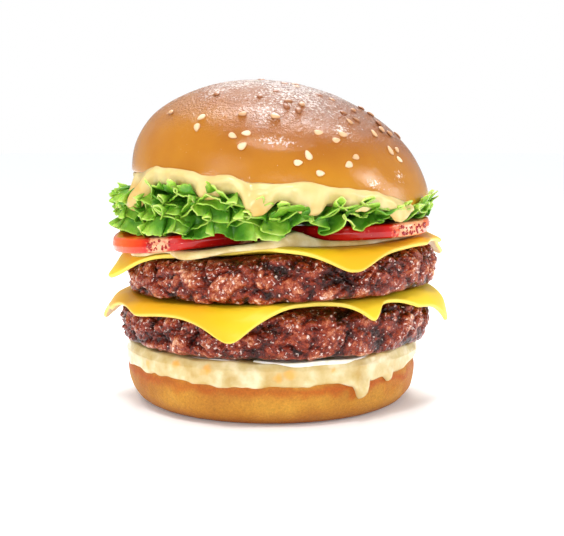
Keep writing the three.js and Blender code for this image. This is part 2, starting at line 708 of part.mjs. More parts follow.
/** A thin wavy leaf: both faces are split alike, and a strip joins them round the edge. */
function leafGeometry(leaf) {
  const columns = LETTUCE_COLUMNS;
  const rows = LETTUCE_ROWS;
  const positions = [];
  const step = 0.004;
  for (const side of [1, -1]) {
    for (let row = 0; row <= rows; row += 1) {
      for (let column = 0; column <= columns; column += 1) {
        const s = column / columns;
        const t = 1 - (1 - row / rows) ** LETTUCE_ROW_CROWDING;
        const here = leafPoint(leaf, s, t);
        const along = leafPoint(leaf, s + step, t).sub(leafPoint(leaf, s - step, t));
        const out = leafPoint(leaf, s, t + step).sub(leafPoint(leaf, s, t - step));
        const normal = out.cross(along).normalize();
        here.addScaledVector(normal, (side * LETTUCE_THICKNESS) / 2);
        positions.push(...here.toArray());
      }
    }
  }
  const at = (side, row, column) => (side * (rows + 1) + row) * (columns + 1) + column;
  const index = [];
  for (let row = 0; row < rows; row += 1) {
    for (let column = 0; column < columns; column += 1) {
      for (const side of [0, 1]) {
        const [a, b] = [at(side, row, column), at(side, row, column + 1)];
        const [c, d] = [at(side, row + 1, column + 1), at(side, row + 1, column)];
        index.push(...(side === 0 ? [a, c, b, a, d, c] : [a, b, c, a, c, d]));
      }
    }
  }
  const rim = [];
  for (let column = 0; column < columns; column += 1) {
    rim.push([0, column]);
  }
  for (let row = 0; row < rows; row += 1) {
    rim.push([row, columns]);
  }
  for (let column = columns; column > 0; column -= 1) {
    rim.push([rows, column]);
  }
  for (let row = rows; row > 0; row -= 1) {
    rim.push([row, 0]);
  }
  for (const [order, [row, column]] of rim.entries()) {
    const [nextRow, nextColumn] = rim[(order + 1) % rim.length];
    const [a, b] = [at(0, row, column), at(0, nextRow, nextColumn)];
    const [c, d] = [at(1, nextRow, nextColumn), at(1, row, column)];
    index.push(a, b, c, a, c, d);
  }
  const geometry = new THREE.BufferGeometry();
  geometry.setAttribute('position', new THREE.Float32BufferAttribute(positions, 3));
  geometry.setIndex(index);
  return geometry;
}

for (const leaf of LETTUCE_LEAVES) {
  addPiece(burger, leaf.name, leafGeometry(leaf), 0x6cab3e, 0.5);
}

// ---- Crown and its sauce --------------------------------------------------------------------

const crownGroup = new THREE.Group();
crownGroup.position.copy(CROWN_PLACE);
crownGroup.rotation.y = radians(CROWN_TILT);
burger.add(crownGroup);

/** Leans the dome to one side, more the higher the point is. */
function lean(point) {
  point.x -= CROWN_LEAN * Math.max(point.z, 0);
}

function crownGeometry() {
  const flat = CROWN_RADIUS - CROWN_EDGE;
  return reshape(turned([
    [0, -CROWN_UNDERSIDE],
    [flat, -CROWN_UNDERSIDE],
    ...quarter([flat, 0], [CROWN_EDGE, CROWN_UNDERSIDE], -90, 0, 2),
    ...quarter([0, 0], [CROWN_RADIUS, CROWN_HEIGHT], 0, 80, 8),
    [0, CROWN_HEIGHT],
  ], CROWN_SEGMENTS), lean);
}

/**
 * A place on the crown's skin and the way out from it. The distance s is measured from the rim
 * of the flat underside, out round the crown's lower edge and up its side.
 */
function crownSkin(s) {
  const flat = CROWN_RADIUS - CROWN_EDGE;
  if (s < 0) {
    return { radius: flat + s, height: -CROWN_UNDERSIDE, out: new THREE.Vector2(0, -1) };
  }
  if (s < CROWN_EDGE_BEND) {
    const angle = (Math.PI / 2) * (s / CROWN_EDGE_BEND);
    const [sine, cosine] = [Math.sin(angle), Math.cos(angle)];
    return {
      radius: flat + CROWN_EDGE * sine,
      height: -CROWN_UNDERSIDE * cosine,
      out: new THREE.Vector2(sine / CROWN_EDGE, -cosine / CROWN_UNDERSIDE).normalize(),
    };
  }
  const height = s - CROWN_EDGE_BEND;
  const radius = CROWN_RADIUS * Math.sqrt(1 - (height / CROWN_HEIGHT) ** 2);
  return { radius, height, out: new THREE.Vector2(1, 0) };
}

/** Sauce under the crown. In places it wells out round the crown's edge and drips. */
function crownSauceGeometry() {
  const geometry = turned([
    ...ringsAt(-1, [0, ...CROWN_SAUCE_RINGS]),
    ...CROWN_SAUCE_RIM,
    ...ringsAt(0, [0, ...CROWN_SAUCE_RINGS]).reverse(),
  ], CROWN_SAUCE_SEGMENTS, radians(CROWN_SAUCE_START));
  const flat = CROWN_RADIUS - CROWN_EDGE;
  const extra = CROWN_SAUCE_SKIRT - CROWN_SAUCE_THICKNESS;
  return reshape(geometry, (point) => {
    const fraction = Math.hypot(point.x, point.y);
    const heading = Math.atan2(point.y, point.x);
    const degrees = THREE.MathUtils.radToDeg(heading);
    const end = CROWN_SAUCE_TUCK + lobeReach(CROWN_SAUCE_LIPS, degrees);
    const skin = crownSkin(fraction * (flat + end) - flat);
    const drip = lobeReach(CROWN_SAUCE_DRIPS, degrees);
    const swell = (extra + DRIP_FULLNESS * drip) * clamp((skin.radius - flat) / CROWN_EDGE, 0, 1);
    const away = CROWN_SAUCE_GAP - point.z * (CROWN_SAUCE_THICKNESS + swell);
    const radius = skin.radius + away * skin.out.x;
    const outer = clamp(DRIP_START * (radius - CROWN_RADIUS - GAP), 0, 1);
    const low = clamp(1 - DRIP_FADE * skin.height, 0, 1);
    const drop = clamp(-DRIP_SKIN_SHARE * point.z, 0, 1) * outer * low * drip;
    point.set(
      radius * Math.cos(heading),
      radius * Math.sin(heading),
      skin.height + away * skin.out.y - drop,
    );
    lean(point);
  });
}

/** One sesame seed with its middle at the origin and its point along X: a flat teardrop. */
function seedGeometry() {
  const geometry = new THREE.SphereGeometry(0.5, 4, 3);
  geometry.rotateZ(Math.PI / 2);
  return reshape(weld(geometry), (point) => {
    const taper = 1 - SEED_TAPER * point.x;
    point.set(
      SEED_LENGTH * point.x,
      SEED_WIDTH * taper * point.y,
      SEED_THICKNESS * point.z,
    );
  });
}

/** A steady source of numbers between 0 and 1. */
function randomFrom(start) {
  const multiplier = 16807;
  const modulus = 2 ** 31 - 1;
  let state = start;
  return () => {
    state = (state * multiplier) % modulus;
    return state / modulus;
  };
}

/** Clusters of seeds: those at the front, and a sunflower's spiral over the rest of the dome. */
function seedClusters(random) {
  const clusters = [...SEED_FRONT_CLUSTERS];
  for (let order = 0; order < SEED_BACK_CLUSTERS; order += 1) {
    const turn = SEED_BACK_TURN * order + SEED_BACK_WANDER * random();
    const at = turnBetween(0, turn);
    const ring = Math.sqrt((order + 0.5) / SEED_BACK_CLUSTERS);
    const count = 1 + Math.floor(SEED_MOST_AT_BACK * random());
    const inFront = at > SEED_FRONT.from && at < SEED_FRONT.to && ring > SEED_MIDDLE_RING;
    if (!inFront) {
      clusters.push({ at, ring, count });
    }
  }
  return clusters;
}

/** Each seed's distance from the dome's middle, as a share of its radius, and its two turns. */
function seedPlaces() {
  const random = randomFrom(SEED_RANDOM_START);
  const places = [];
  for (const { at, ring, count } of seedClusters(random)) {
    const first = 360 * random();
    const apart = count === 1 ? 0 : SEED_CLUSTER_RADIUS + SEED_CLUSTER_GROWTH * count;
    const fall = Math.max(1 - ring ** 2, SEED_LEAST_SLOPE);
    const steep = Math.hypot(1, ((CROWN_HEIGHT / CROWN_RADIUS) * ring) / Math.sqrt(fall));
    for (let member = 0; member < count; member += 1) {
      const roundBy = first + (360 * member) / count + SEED_CLUSTER_WANDER * random();
      const [up, along] = [Math.sin(radians(roundBy)), Math.cos(radians(roundBy))];
      places.push({
        across: ring + (apart * up) / (CROWN_RADIUS * steep),
        round: radians(at) + (apart * along) / (CROWN_RADIUS * Math.max(ring, SEED_MIDDLE_RING)),
        turn: 2 * Math.PI * random(),
      });
    }
  }
  return places;
}

/** Height of the dome at a fraction of its radius. */
function domeHeight(fraction) {
  return CROWN_HEIGHT * Math.sqrt(1 - fraction ** 2);
}

/** The crown with its sesame seeds pressed a little way into the crust. */
function seededCrownGeometry() {
  const widest = Math.sqrt(1 - (SEED_LOWEST_HEIGHT / CROWN_HEIGHT) ** 2);
  let solid = solidOf(crownGeometry());
  for (const place of seedPlaces()) {
    const fraction = Math.min(place.across, widest);
    const radius = CROWN_RADIUS * fraction;
    const spot = new THREE.Vector3(
      radius * Math.cos(place.round),
      radius * Math.sin(place.round),
      domeHeight(fraction),
    );
    const normal = new THREE.Vector3(
      spot.x / CROWN_RADIUS ** 2,
      spot.y / CROWN_RADIUS ** 2,
      spot.z / CROWN_HEIGHT ** 2,
    ).normalize();
    lean(spot);
    const lay = new THREE.Quaternion().setFromUnitVectors(new THREE.Vector3(0, 0, 1), normal);
    const seed = seedGeometry();
    seed.rotateZ(place.turn);
    seed.applyQuaternion(lay);
    seed.translate(spot.x, spot.y, spot.z);
    solid = solid.add(solidOf(seed));
  }
  return geometryOf(solid);
}

addPiece(crownGroup, 'sauce_crown', crownSauceGeometry(), 0xf6e0a0, 0.3);
addPiece(crownGroup, 'bun_crown', seededCrownGeometry(), 0xcf8b3b, 0.4);

export default burger;
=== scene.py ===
import math

import bpy
import numpy as np
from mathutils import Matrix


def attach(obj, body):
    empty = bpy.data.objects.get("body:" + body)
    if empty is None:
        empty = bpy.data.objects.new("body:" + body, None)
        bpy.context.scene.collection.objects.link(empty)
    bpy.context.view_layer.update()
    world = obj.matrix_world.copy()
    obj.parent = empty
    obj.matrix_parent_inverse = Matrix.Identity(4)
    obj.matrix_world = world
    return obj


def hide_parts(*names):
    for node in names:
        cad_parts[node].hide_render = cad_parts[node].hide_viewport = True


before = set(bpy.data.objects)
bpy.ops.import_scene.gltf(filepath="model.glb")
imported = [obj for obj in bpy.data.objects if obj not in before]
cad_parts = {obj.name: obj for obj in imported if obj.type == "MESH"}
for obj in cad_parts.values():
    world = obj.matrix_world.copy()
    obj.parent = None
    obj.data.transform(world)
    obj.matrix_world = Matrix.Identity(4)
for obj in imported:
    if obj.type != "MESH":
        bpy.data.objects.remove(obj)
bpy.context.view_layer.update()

# ---- Heel -----------------------------------------------------------------------------------
# The lower half of a soft wheat bun, baked on a flat tray and toasted on its cut face. It is a
# ball pressed into a low bowl with a flat foot. Everything else stands on it.

# Sizes are in millimetres and headings in degrees, from +X towards +Y. Materials and lamps are in
# metres.
MM = 0.001
HEEL_RADIUS = 50.8
HEEL_FOOT_RADIUS = 42.5
HEEL_WIDEST_HEIGHT = 11.8
HEEL_HEIGHT = 16.8
HEEL_EDGE_WIDTH = 2.6
HEEL_DENTS = [(0.9, 13), (0.35, 4)]  # depth and width
DENTLESS_MARGIN = 2
TOAST_HEIGHT = 12.4
TOAST_WIDTH = 1.9
TOAST_STRAYS = [(2.6, 5), (1.6, 1.6)]  # how far the toasted band strays, and over what width
# Darker orange patches on the crust, one of them beside the big drip.
DARKER_CRUST_PATCHES = [
    # heading in degrees, height, size, strength
    (-58.6, 10.4, 2.6, 0.75), (-36, 12, 7, 0.5), (-22, 9, 8, 0.5), (-150, 12.6, 6, 0.5),
    (40, 12, 7, 0.4), (120, 11, 8, 0.4),
]


def linear(code):
    """An sRGB hex colour as linear red, green, blue and alpha."""
    channels = [int(code[i:i + 2], 16) / 255 for i in (1, 3, 5)]
    return [c / 12.92 if c <= 0.04045 else ((c + 0.055) / 1.055) ** 2.4 for c in channels] + [1.0]


def set_inputs(node, inputs):
    """Sets each named input of a node, or links it when its value is another node's output."""
    for name, value in inputs.items():
        if isinstance(value, bpy.types.NodeSocket):
            node.id_data.links.new(value, node.inputs[name])
        else:
            node.inputs[name].default_value = value


def add_node(tree, kind, inputs=(), stops=(), output=0, **settings):
    """Adds a node with its settings, inputs and colour stops, and returns one of its outputs."""
    made = tree.nodes.new("ShaderNode" + kind)
    for name, value in settings.items():
        setattr(made, name, value)
    set_inputs(made, dict(inputs))
    for order, (place, code) in enumerate(stops):
        points = made.color_ramp.elements
        point = points[order] if order < 2 else points.new(place)
        point.position = place
        point.color = linear(code)
    return made.outputs[output]


def new_material(name):
    """A material and its node tree."""
    made = bpy.data.materials.new(name)
    made.use_nodes = True
    return made, made.node_tree


def corners_of(piece):
    """The places of a piece's vertices, as rows of x, y and z."""
    places = np.empty(3 * len(piece.data.vertices))
    piece.data.vertices.foreach_get("co", places)
    return places.reshape(-1, 3)


def sheet(name, columns, rows):
    """Adds a flat grid. Returns it with each vertex's two places on it, both from 0 to 1."""
    bpy.ops.object.select_all(action="DESELECT")
    bpy.ops.mesh.primitive_grid_add(x_subdivisions=columns, y_subdivisions=rows, size=2)
    piece = bpy.context.object
    piece.name = name
    piece.data.name = name
    x, y, _ = corners_of(piece).T
    return piece, (x + 1) / 2, (y + 1) / 2


def ball(name, columns, rows):
    """Rolls a grid up into a closed ball. Returns it with each vertex's heading and its rise, from
    0 at the foot to 1 on top."""
    piece, s, t = sheet(name, columns, rows)
    polar = np.pi * t
    rolled = np.column_stack([
        np.sin(polar) * np.cos(2 * np.pi * s), np.sin(polar) * np.sin(2 * np.pi * s), -np.cos(polar)])
    piece.data.vertices.foreach_set("co", rolled.astype(np.float32).ravel())
    bpy.ops.object.mode_set(mode="EDIT")
    bpy.ops.mesh.select_all(action="SELECT")
    bpy.ops.mesh.remove_doubles(threshold=1e-5)
    bpy.ops.object.mode_set(mode="OBJECT")
    x, y, z = corners_of(piece).T
    return piece, np.arctan2(y, x), 1 - np.arccos(np.clip(z, -1, 1)) / np.pi


def press(piece, points):
    """Moves a piece's vertices to points in millimetres, and leaves it smooth and closed."""
    piece.data.vertices.foreach_set("co", (np.asarray(points) * MM).astype(np.float32).ravel())
    piece.data.update()
    bpy.ops.object.select_all(action="DESELECT")
    piece.select_set(True)
    bpy.context.view_layer.objects.active = piece
    bpy.ops.object.mode_set(mode="EDIT")
    bpy.ops.mesh.select_all(action="SELECT")
    bpy.ops.mesh.normals_make_consistent(inside=False)
    bpy.ops.object.mode_set(mode="OBJECT")
    bpy.ops.object.shade_smooth()


def note(piece, name, values):
    """Keeps a number for each vertex, which a material reads."""
    kept = piece.data.attributes.new(name, "FLOAT", "POINT")
    kept.data.foreach_set("value", np.asarray(values, dtype=np.float32))


def arc(centre, size, start, end, steps=24):
    """[radius, height] points along a stretch of an ellipse, from one angle to another."""
    angle = np.radians(np.linspace(start, end, steps))
    return np.column_stack([centre[0] + size[0] * np.cos(angle), centre[1] + size[1] * np.sin(angle)])


def section(stretches, rise):
    """Radius and height at a rise, on stretches that each take a share of the way."""
    radii, heights, places, done = [], [], [], 0.0
    for share, points in stretches:
        points = np.asarray(points, dtype=float)
        step = np.concatenate([[0], np.cumsum(np.hypot(*np.diff(points, axis=0).T))])
        places.append(done + share * step / step[-1])
        radii.append(points[:, 0])
        heights.append(points[:, 1])
        done += share
    place = np.concatenate(places) / done
    return np.interp(rise, place, np.concatenate(radii)), np.interp(rise, place, np.concatenate(heights))


def around(heading, radius, height):
    """Points at a heading, radius and height."""
    return np.column_stack([radius * np.cos(heading), radius * np.sin(heading), height])


def scatter(cells, salt):
    """A steady random number, 0 to 1, for each cell of a grid."""
    i, j, k = cells.T
    n = (i * 73856093) ^ (j * 19349663) ^ (k * 83492791) ^ (salt * 2654435761)
    n = ((n ^ (n >> 13)) * 1274126177) & 0xFFFFFFFF
    n = ((n ^ (n >> 15)) * 2246822519) & 0xFFFFFFFF
    return ((n ^ (n >> 16)) & 0xFFFFFF) / 0xFFFFFF


def lumps(points, size, salt=0):
    """Smooth lumps of a size in millimetres, 0 to 1."""
    place = np.asarray(points) / size
    cells = np.floor(place).astype(np.int64)
    part = place - cells
    part = part * part * (3 - 2 * part)
    total = np.zeros(len(place))
    for corner in np.ndindex(2, 2, 2):
        share = np.prod(np.where(corner, part, 1 - part), axis=1)
        total += share * scatter(cells + corner, salt)
    return total


def bumps(points, plan, salt=0):
    """Soft ups and downs about zero, from a plan of depths and widths in millimetres."""
    return sum(
        depth * (lumps(points, width, salt + order) - 0.5) for order, (depth, width) in enumerate(plan))


def share_of(value, start, end):
    """How far a value has come from start to end, 0 to 1."""
    return np.clip((value - start) / (end - start), 0, 1)


def ease(value, start, end):
    """0 before start, 1 after end, and a soft step between them."""
    share = share_of(value, start, end)
    return share * share * (3 - 2 * share)


def bell(value, middle, width):
    """1 at the middle, and softly less on both sides."""
    return np.exp(-(((value - middle) / width) ** 2))


def blotched(points, radius, spots, fray, soft):
    """How strongly points at a radius are stained by ragged spots, each with its heading, height,
    size and strength."""
    stain = np.zeros(len(points))
    for at, level, size, strength in spots:
        away = np.linalg.norm(points - around(np.radians([at]), radius, np.array([level])), axis=1) / size
        stain = np.maximum(stain, strength * (1 - ease(away + fray, *soft)))
    return stain


def heel_radius_at(height):
    """Radius of the heel's side at a height, without its dents."""
    below = np.clip((HEEL_WIDEST_HEIGHT - height) / HEEL_WIDEST_HEIGHT, 0, 1)
    above = np.clip((height - HEEL_WIDEST_HEIGHT) / (HEEL_HEIGHT - HEEL_WIDEST_HEIGHT), 0, 1)
    belly = (HEEL_RADIUS - HEEL_FOOT_RADIUS) * (1 - np.sqrt(1 - below**2))
    return HEEL_RADIUS - belly - HEEL_EDGE_WIDTH * (1 - np.sqrt(1 - above**2))


heel, heading, rise = ball("bun_heel_crust", 288, 120)
rim = HEEL_RADIUS - HEEL_EDGE_WIDTH
belly = HEEL_RADIUS - HEEL_FOOT_RADIUS
radius, height = section([
    (0.12, [[0, 0], [HEEL_FOOT_RADIUS, 0]]),
    (0.5, arc((HEEL_FOOT_RADIUS, HEEL_WIDEST_HEIGHT), (belly, HEEL_WIDEST_HEIGHT), -90, 0)),
    (0.26, arc((rim, HEEL_WIDEST_HEIGHT), (HEEL_EDGE_WIDTH, HEEL_HEIGHT - HEEL_WIDEST_HEIGHT), 0, 90)),
    (0.12, [[rim, HEEL_HEIGHT], [0, HEEL_HEIGHT]]),
], rise)
points = around(heading, radius, height)
side = share_of(height, 0, DENTLESS_MARGIN) * share_of(HEEL_HEIGHT - height, 0, DENTLESS_MARGIN)
points = around(heading, radius + side * bumps(points, HEEL_DENTS), height)
press(heel, points)
band_height = TOAST_HEIGHT + bumps(points, TOAST_STRAYS, 2)
band = bell(height, band_height, TOAST_WIDTH) * (0.55 + 0.45 * lumps(points, 14, 4))
patched = blotched(points, HEEL_RADIUS, DARKER_CRUST_PATCHES, bumps(points, [(0.8, 2)], 5), (0.3, 1.2))
note(heel, "toast", np.maximum(band, patched))

# Baked wheat crust: golden, matt and finely grained. It is darker towards its foot, toasted to orange brown
# just under the cut edge, and darker orange in a few patches. Here and below, a pattern's scale is one over
# its real size in metres: patches of 14 mm, and a grain of 0.8 mm, as coarse as it needs to show.
wheat_crust, tree = new_material("baked_wheat_crust")
place = add_node(tree, "TexCoord", output="Object")
patches = add_node(tree, "TexNoise", {"Vector": place, "Scale": 1 / 0.014, "Detail": 3})
grain = add_node(tree, "TexNoise", {
    "Vector": place, "Scale": 1 / 0.0008, "Detail": 4, "Roughness": 0.8})
golden = add_node(tree, "ValToRGB", {"Fac": patches}, stops=(
    (0.25, "#A8681A"), (0.75, "#CE9632"), (0.5, "#BC8024")))
level = add_node(tree, "SeparateXYZ", {"Vector": place}, output="Z")
foot = add_node(tree, "MapRange", {"Value": level, "From Min": 0.0, "From Max": 0.006})
darker_foot = add_node(tree, "Mix", {0: foot, 6: linear("#9A5412"), 7: golden}, data_type="RGBA", output=2)
toast = add_node(tree, "Attribute", attribute_name="toast", output="Fac")
toasted = add_node(tree, "Mix", {
    0: toast, 6: darker_foot, 7: linear("#B05000")}, data_type="RGBA", output=2)
speckle = add_node(tree, "MapRange", {
    "Value": grain, "From Min": 0.3, "From Max": 0.7, "To Min": 0.7, "To Max": 1.15})
crumbed = add_node(tree, "Mix", {
    0: 1.0, 6: toasted, 7: speckle}, data_type="RGBA", blend_type="MULTIPLY", output=2)
raised = add_node(tree, "Bump", {"Height": grain, "Strength": 0.35, "Distance": 0.0006})
set_inputs(tree.nodes["Principled BSDF"], {
    "Base Color": crumbed, "Normal": raised, "Roughness": 0.62, "Specular IOR Level": 0.3,
    "Subsurface Weight": 0.12, "Subsurface Radius": (1.0, 0.5, 0.2), "Subsurface Scale": 0.002})
heel.data.materials.append(wheat_crust)
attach(heel, "root")
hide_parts("bun_heel")

# ---- Cream sauce on the heel ----------------------------------------------------------------
# Cream mayonnaise that was spread to the edge of the cut face and ran over it. It is one body:
# a layer under the onion and a skirt down the crust that ends in rounded drips.

HEEL_SAUCE_TOP = 19.7
HEEL_SAUCE_SHOULDER = 1.2  # radius of its rounded upper edge
HEEL_SAUCE_SKIRT = 0.7
HEEL_SAUCE_UNDER = 0.3  # how far its back goes into the crust
HEEL_SAUCE_END = 1.1  # radius of its rounded lower edge
HEEL_SAUCE_HANG = 2.8
HEEL_SAUCE_RAGS = [(1.1, 5), (0.6, 2.4)]  # depth and width of the ragged lower edge
FULL_DRIP = 5
DRIP_BEAD = 0.9
DRIP_BEAD_HEIGHT = 1.8
DRIP_BEAD_WIDTH = 1.9
HEEL_SAUCE_MOUND = 1.5
MOUND_STARTS = (39, 44)
MOUND_ENDS = (50, 51.7)
HEEL_SAUCE_RIPPLE_DEPTH, HEEL_SAUCE_RIPPLE_WIDTH = 0.8, 4.5
# Where the face on the bread, the back of the skirt, its front and the shoulder end, as shares
# of the way from the middle below to the middle on top.
FACE_END, BACK_END, FRONT_END, SHOULDER_END = 0.1, 0.3, 0.75, 0.88
HEEL_SAUCE_DRIPS = [
    # heading in degrees, depth, spread in degrees
    (-100, 0.6, 22), (-55.5, 5, 2.9), (-56, 1.2, 8), (-41.5, 1.8, 2), (-42, 0.7, 5), (-12, -1.6, 18),
    (38, 2.6, 3), (38, 0.9, 7), (88, 1.2, 14), (131, 3.8, 3), (131, 1, 8), (165, -0.8, 10),
]
BAKED_SPOTS = [
    # heading in degrees, height, size
    (-113, 18.4, 2.0), (-87.5, 16.6, 1.6), (-83.5, 17.8, 2.0), (-126, 19.2, 1.8), (-142, 17, 1.4),
    (-67, 18.6, 1.5), (12, 17, 1.8), (61, 18, 2.2), (66, 16, 1.3), (104, 18.2, 1.7), (149, 17.4, 2.1),
    (178, 18.4, 1.5),
]
BAKED_STRENGTH = 0.8


def lobe_reach(lobes, heading):
    """How far rounded lobes reach at a heading in radians."""
    reach = np.zeros_like(heading)
    for at, depth, spread in lobes:
        turn = ((np.degrees(heading) - at + 180) % 360 - 180) / spread
        reach += depth * np.exp(-(turn**4) - 0.3 * turn**2)
    return reach


def rounded(share):
    """A quarter circle: from 0 it rises steeply, and levels off at 1."""
    return np.sqrt(1 - (1 - np.clip(share, 0, 1)) ** 2)


heel_sauce, heading, rise = ball("sauce_heel_mayonnaise", 440, 120)
drip = lobe_reach(HEEL_SAUCE_DRIPS, heading)
rim_points = around(heading, HEEL_RADIUS, np.zeros_like(heading))
hang = HEEL_SAUCE_HANG + drip + bumps(rim_points, HEEL_SAUCE_RAGS, 3)
end = HEEL_HEIGHT - hang
down = share_of(rise, FACE_END, BACK_END)
up = 1 - np.cos(share_of(rise, BACK_END, FRONT_END) * np.pi / 2)
edge = share_of(rise, FRONT_END, SHOULDER_END) * np.pi / 2
inward = share_of(rise, SHOULDER_END, 1)
outer_top = HEEL_SAUCE_TOP - HEEL_SAUCE_SHOULDER
height = np.where(rise < BACK_END, HEEL_HEIGHT - down * hang, end + up * (outer_top - end))
bare = heel_radius_at(height)
wall = np.where(height < HEEL_WIDEST_HEIGHT, bare, HEEL_RADIUS)
above_end = height - end
fullness = np.clip(drip / FULL_DRIP, 0, 1)
bead = DRIP_BEAD * fullness * bell(above_end, DRIP_BEAD_HEIGHT, DRIP_BEAD_WIDTH)
ripple = lumps(around(heading, wall, height), HEEL_SAUCE_RIPPLE_WIDTH, 5) - 0.45
ripple = HEEL_SAUCE_RIPPLE_DEPTH * ripple
thick = HEEL_SAUCE_SKIRT + 0.5 * fullness + bead + 0.55 * ripple
outside = bare + rounded(above_end / HEEL_SAUCE_END) * (wall - bare + thick)
radius = np.where(rise < BACK_END, bare - HEEL_SAUCE_UNDER, outside)
radius = np.where(rise < FACE_END, rim * rise / FACE_END, radius)
top_radius = outside - HEEL_SAUCE_SHOULDER * (1 - np.cos(edge))
height = np.where(rise > FRONT_END, outer_top + HEEL_SAUCE_SHOULDER * np.sin(edge), height)
radius = np.where(rise > FRONT_END, top_radius * (1 - inward), radius)
height = height - 0.1 * (rise < FACE_END)
mound = ease(radius, *MOUND_STARTS) * (1 - ease(radius, *MOUND_ENDS))
mound = mound * (HEEL_SAUCE_MOUND + lumps(around(heading, radius, height), 6, 6))
mound = mound * (1 - 0.2 * lobe_reach([(-95, 1, 40)], heading))
height = np.where(rise > 0.8, height + mound, height)
points = around(heading, radius, height)
press(heel_sauce, points)
spots = [(*spot, BAKED_STRENGTH) for spot in BAKED_SPOTS]
baked = blotched(points, HEEL_RADIUS + 1, spots, bumps(points, [(1.1, 1.3)], 7), (0.2, 1.3))
note(heel_sauce, "baked", baked)

# Mayonnaise: smooth, glossy and slightly see-through, with small orange spots where it caught
# the grill.
mayonnaise, tree = new_material("mayonnaise")
place = add_node(tree, "TexCoord", output="Object")
clouds = add_node(tree, "TexNoise", {"Vector": place, "Scale": 1 / 0.006, "Detail": 4})
cream = add_node(tree, "ValToRGB", {"Fac": clouds}, stops=(
    (0.3, "#C0A05C"), (0.7, "#E4D6AE"), (0.5, "#D0BA82")))
baked = add_node(tree, "Attribute", attribute_name="baked", output="Fac")
spotted = add_node(tree, "Mix", {0: baked, 6: cream, 7: linear("#E4A23A")}, data_type="RGBA", output=2)
ripples = add_node(tree, "TexNoise", {"Vector": place, "Scale": 1 / 0.003, "Detail": 2})
raised = add_node(tree, "Bump", {"Height": ripples, "Strength": 0.25, "Distance": 0.001})
set_inputs(tree.nodes["Principled BSDF"], {
    "Base Color": spotted, "Normal": raised, "Roughness": 0.2, "IOR": 1.46, "Subsurface Weight": 0.25,
    "Subsurface Radius": (1.0, 0.8, 0.5), "Subsurface Scale": 0.0015})
heel_sauce.data.materials.append(mayonnaise)
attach(heel_sauce, "root")
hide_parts("sauce_heel")

# ---- Onion slivers --------------------------------------------------------------------------
# Raw white onion, cut across into rings and pulled apart. Each sliver is a strip of flat grid,
# bent round, given its thickness, and bevelled.

ONION_THICKNESS = 1.5
ONION_WIDTH = 8
ONION_LEVEL = 20.75
ONION_WAVE = 0.25
ONION_BEVEL = 0.35
ONION_SLIVERS = [
    # node, middle of its curve, radius, headings of its two ends
    ("onion_front_left", (-5.6, -20.3), 28.4, (-160, -92)),
    ("onion_front_right", (5.7, -17.6), 33, (-110, -38)),
    ("onion_back_right", (15, 12), 31.5, (-8, 72)),
    ("onion_back_left", (-13, 13), 32, (98, 176)),
]


def apply_modifier(piece, kind, **settings):
    """Adds a modifier with its settings and applies it."""
    bpy.context.view_layer.objects.active = piece
    made = piece.modifiers.new(kind.lower(), kind)
    for name, value in settings.items():
        setattr(made, name, value)
    bpy.ops.object.modifier_apply(modifier=made.name)


# Onion flesh: wet, glassy white with faint lines along each layer.
onion_flesh, tree = new_material("raw_onion")
place = add_node(tree, "TexCoord", output="Object")
layers = add_node(tree, "TexNoise", {"Vector": place, "Scale": 1 / 0.003, "Detail": 2})
pale = add_node(tree, "ValToRGB", {"Fac": layers}, stops=(
    (0.3, "#E4DCC0"), (0.7, "#F7F3E6"), (0.5, "#EEE8D6")))
set_inputs(tree.nodes["Principled BSDF"], {
    "Base Color": pale, "Roughness": 0.25, "IOR": 1.38, "Subsurface Weight": 0.4,
    "Subsurface Radius": (1.0, 0.9, 0.6), "Subsurface Scale": 0.002})

for node, middle, sliver_radius, ends in ONION_SLIVERS:
    sliver, along, across = sheet(node + "_raw", 96, 8)
    heading = np.radians(ends[0] + (ends[1] - ends[0]) * along)
    radius = sliver_radius - ONION_WIDTH * (1 - across)
    points = around(heading, radius, ONION_LEVEL + ONION_WAVE * np.sin(9 * heading) * across)
    press(sliver, points + [middle[0], middle[1], 0])
    apply_modifier(sliver, "SOLIDIFY", thickness=ONION_THICKNESS * MM, offset=0)
    apply_modifier(sliver, "BEVEL", width=ONION_BEVEL * MM, segments=3, limit_method="ANGLE")
    sliver.data.materials.append(onion_flesh)
    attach(sliver, "root")
    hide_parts(node)

# ---- Beef patties ---------------------------------------------------------------------------
# Coarse ground beef, pressed by hand and seared. Each patty is a round slab whose side is
# broken into lumps of mince with deep cracks between them.

GAP = 0.3
ONION_FLOOR = 20.0
PATTY_RADIUS = 55.6
PATTY_SHOULDER = 7.6
PATTY_HEEL = 4.4
PATTY_RIM_BAND = 8
CHEESE_THICKNESS = 2
LOWER_PATTY = {"name": "patty_lower", "x": 1.0, "top": 37.2, "slope": 0.03, "swell": 0.0, "phase": 0.4}
UPPER_PATTY = {"name": "patty_upper", "x": 3.4, "top": 53.3, "slope": 0.045, "swell": 1.6, "phase": 2.1}
SWELL_PLACE = (1, -50)
SWELL_WIDTH = 16
# Depth and width of what breaks up the side, from torn clumps down to single crumbs.
CLUMP_DEPTH, CLUMP_WIDTH = 2.9, 9
CREASE_DEPTH, CREASE_WIDTH = 1.4, 6.5
KNOB_DEPTH, KNOB_WIDTH = 1.5, 3.8
CRUMB_DEPTH, CRUMB_WIDTH = 0.9, 1.7
GRIT_DEPTH, GRIT_WIDTH = 0.5, 0.9
MINCE_SWIRL = 4.5
CRUMB_SWIRL = 0.9
PROUDEST = 1.1
DEEPEST = 4.8


def wander(angle, phase):
    """A slow wander round a circle, between about -1 and 1."""
    return (0.5 * np.sin(2 * angle + phase) + 0.3 * np.sin(3 * angle + 2.3 * phase)
            + 0.2 * np.sin(5 * angle + 4.1 * phase))


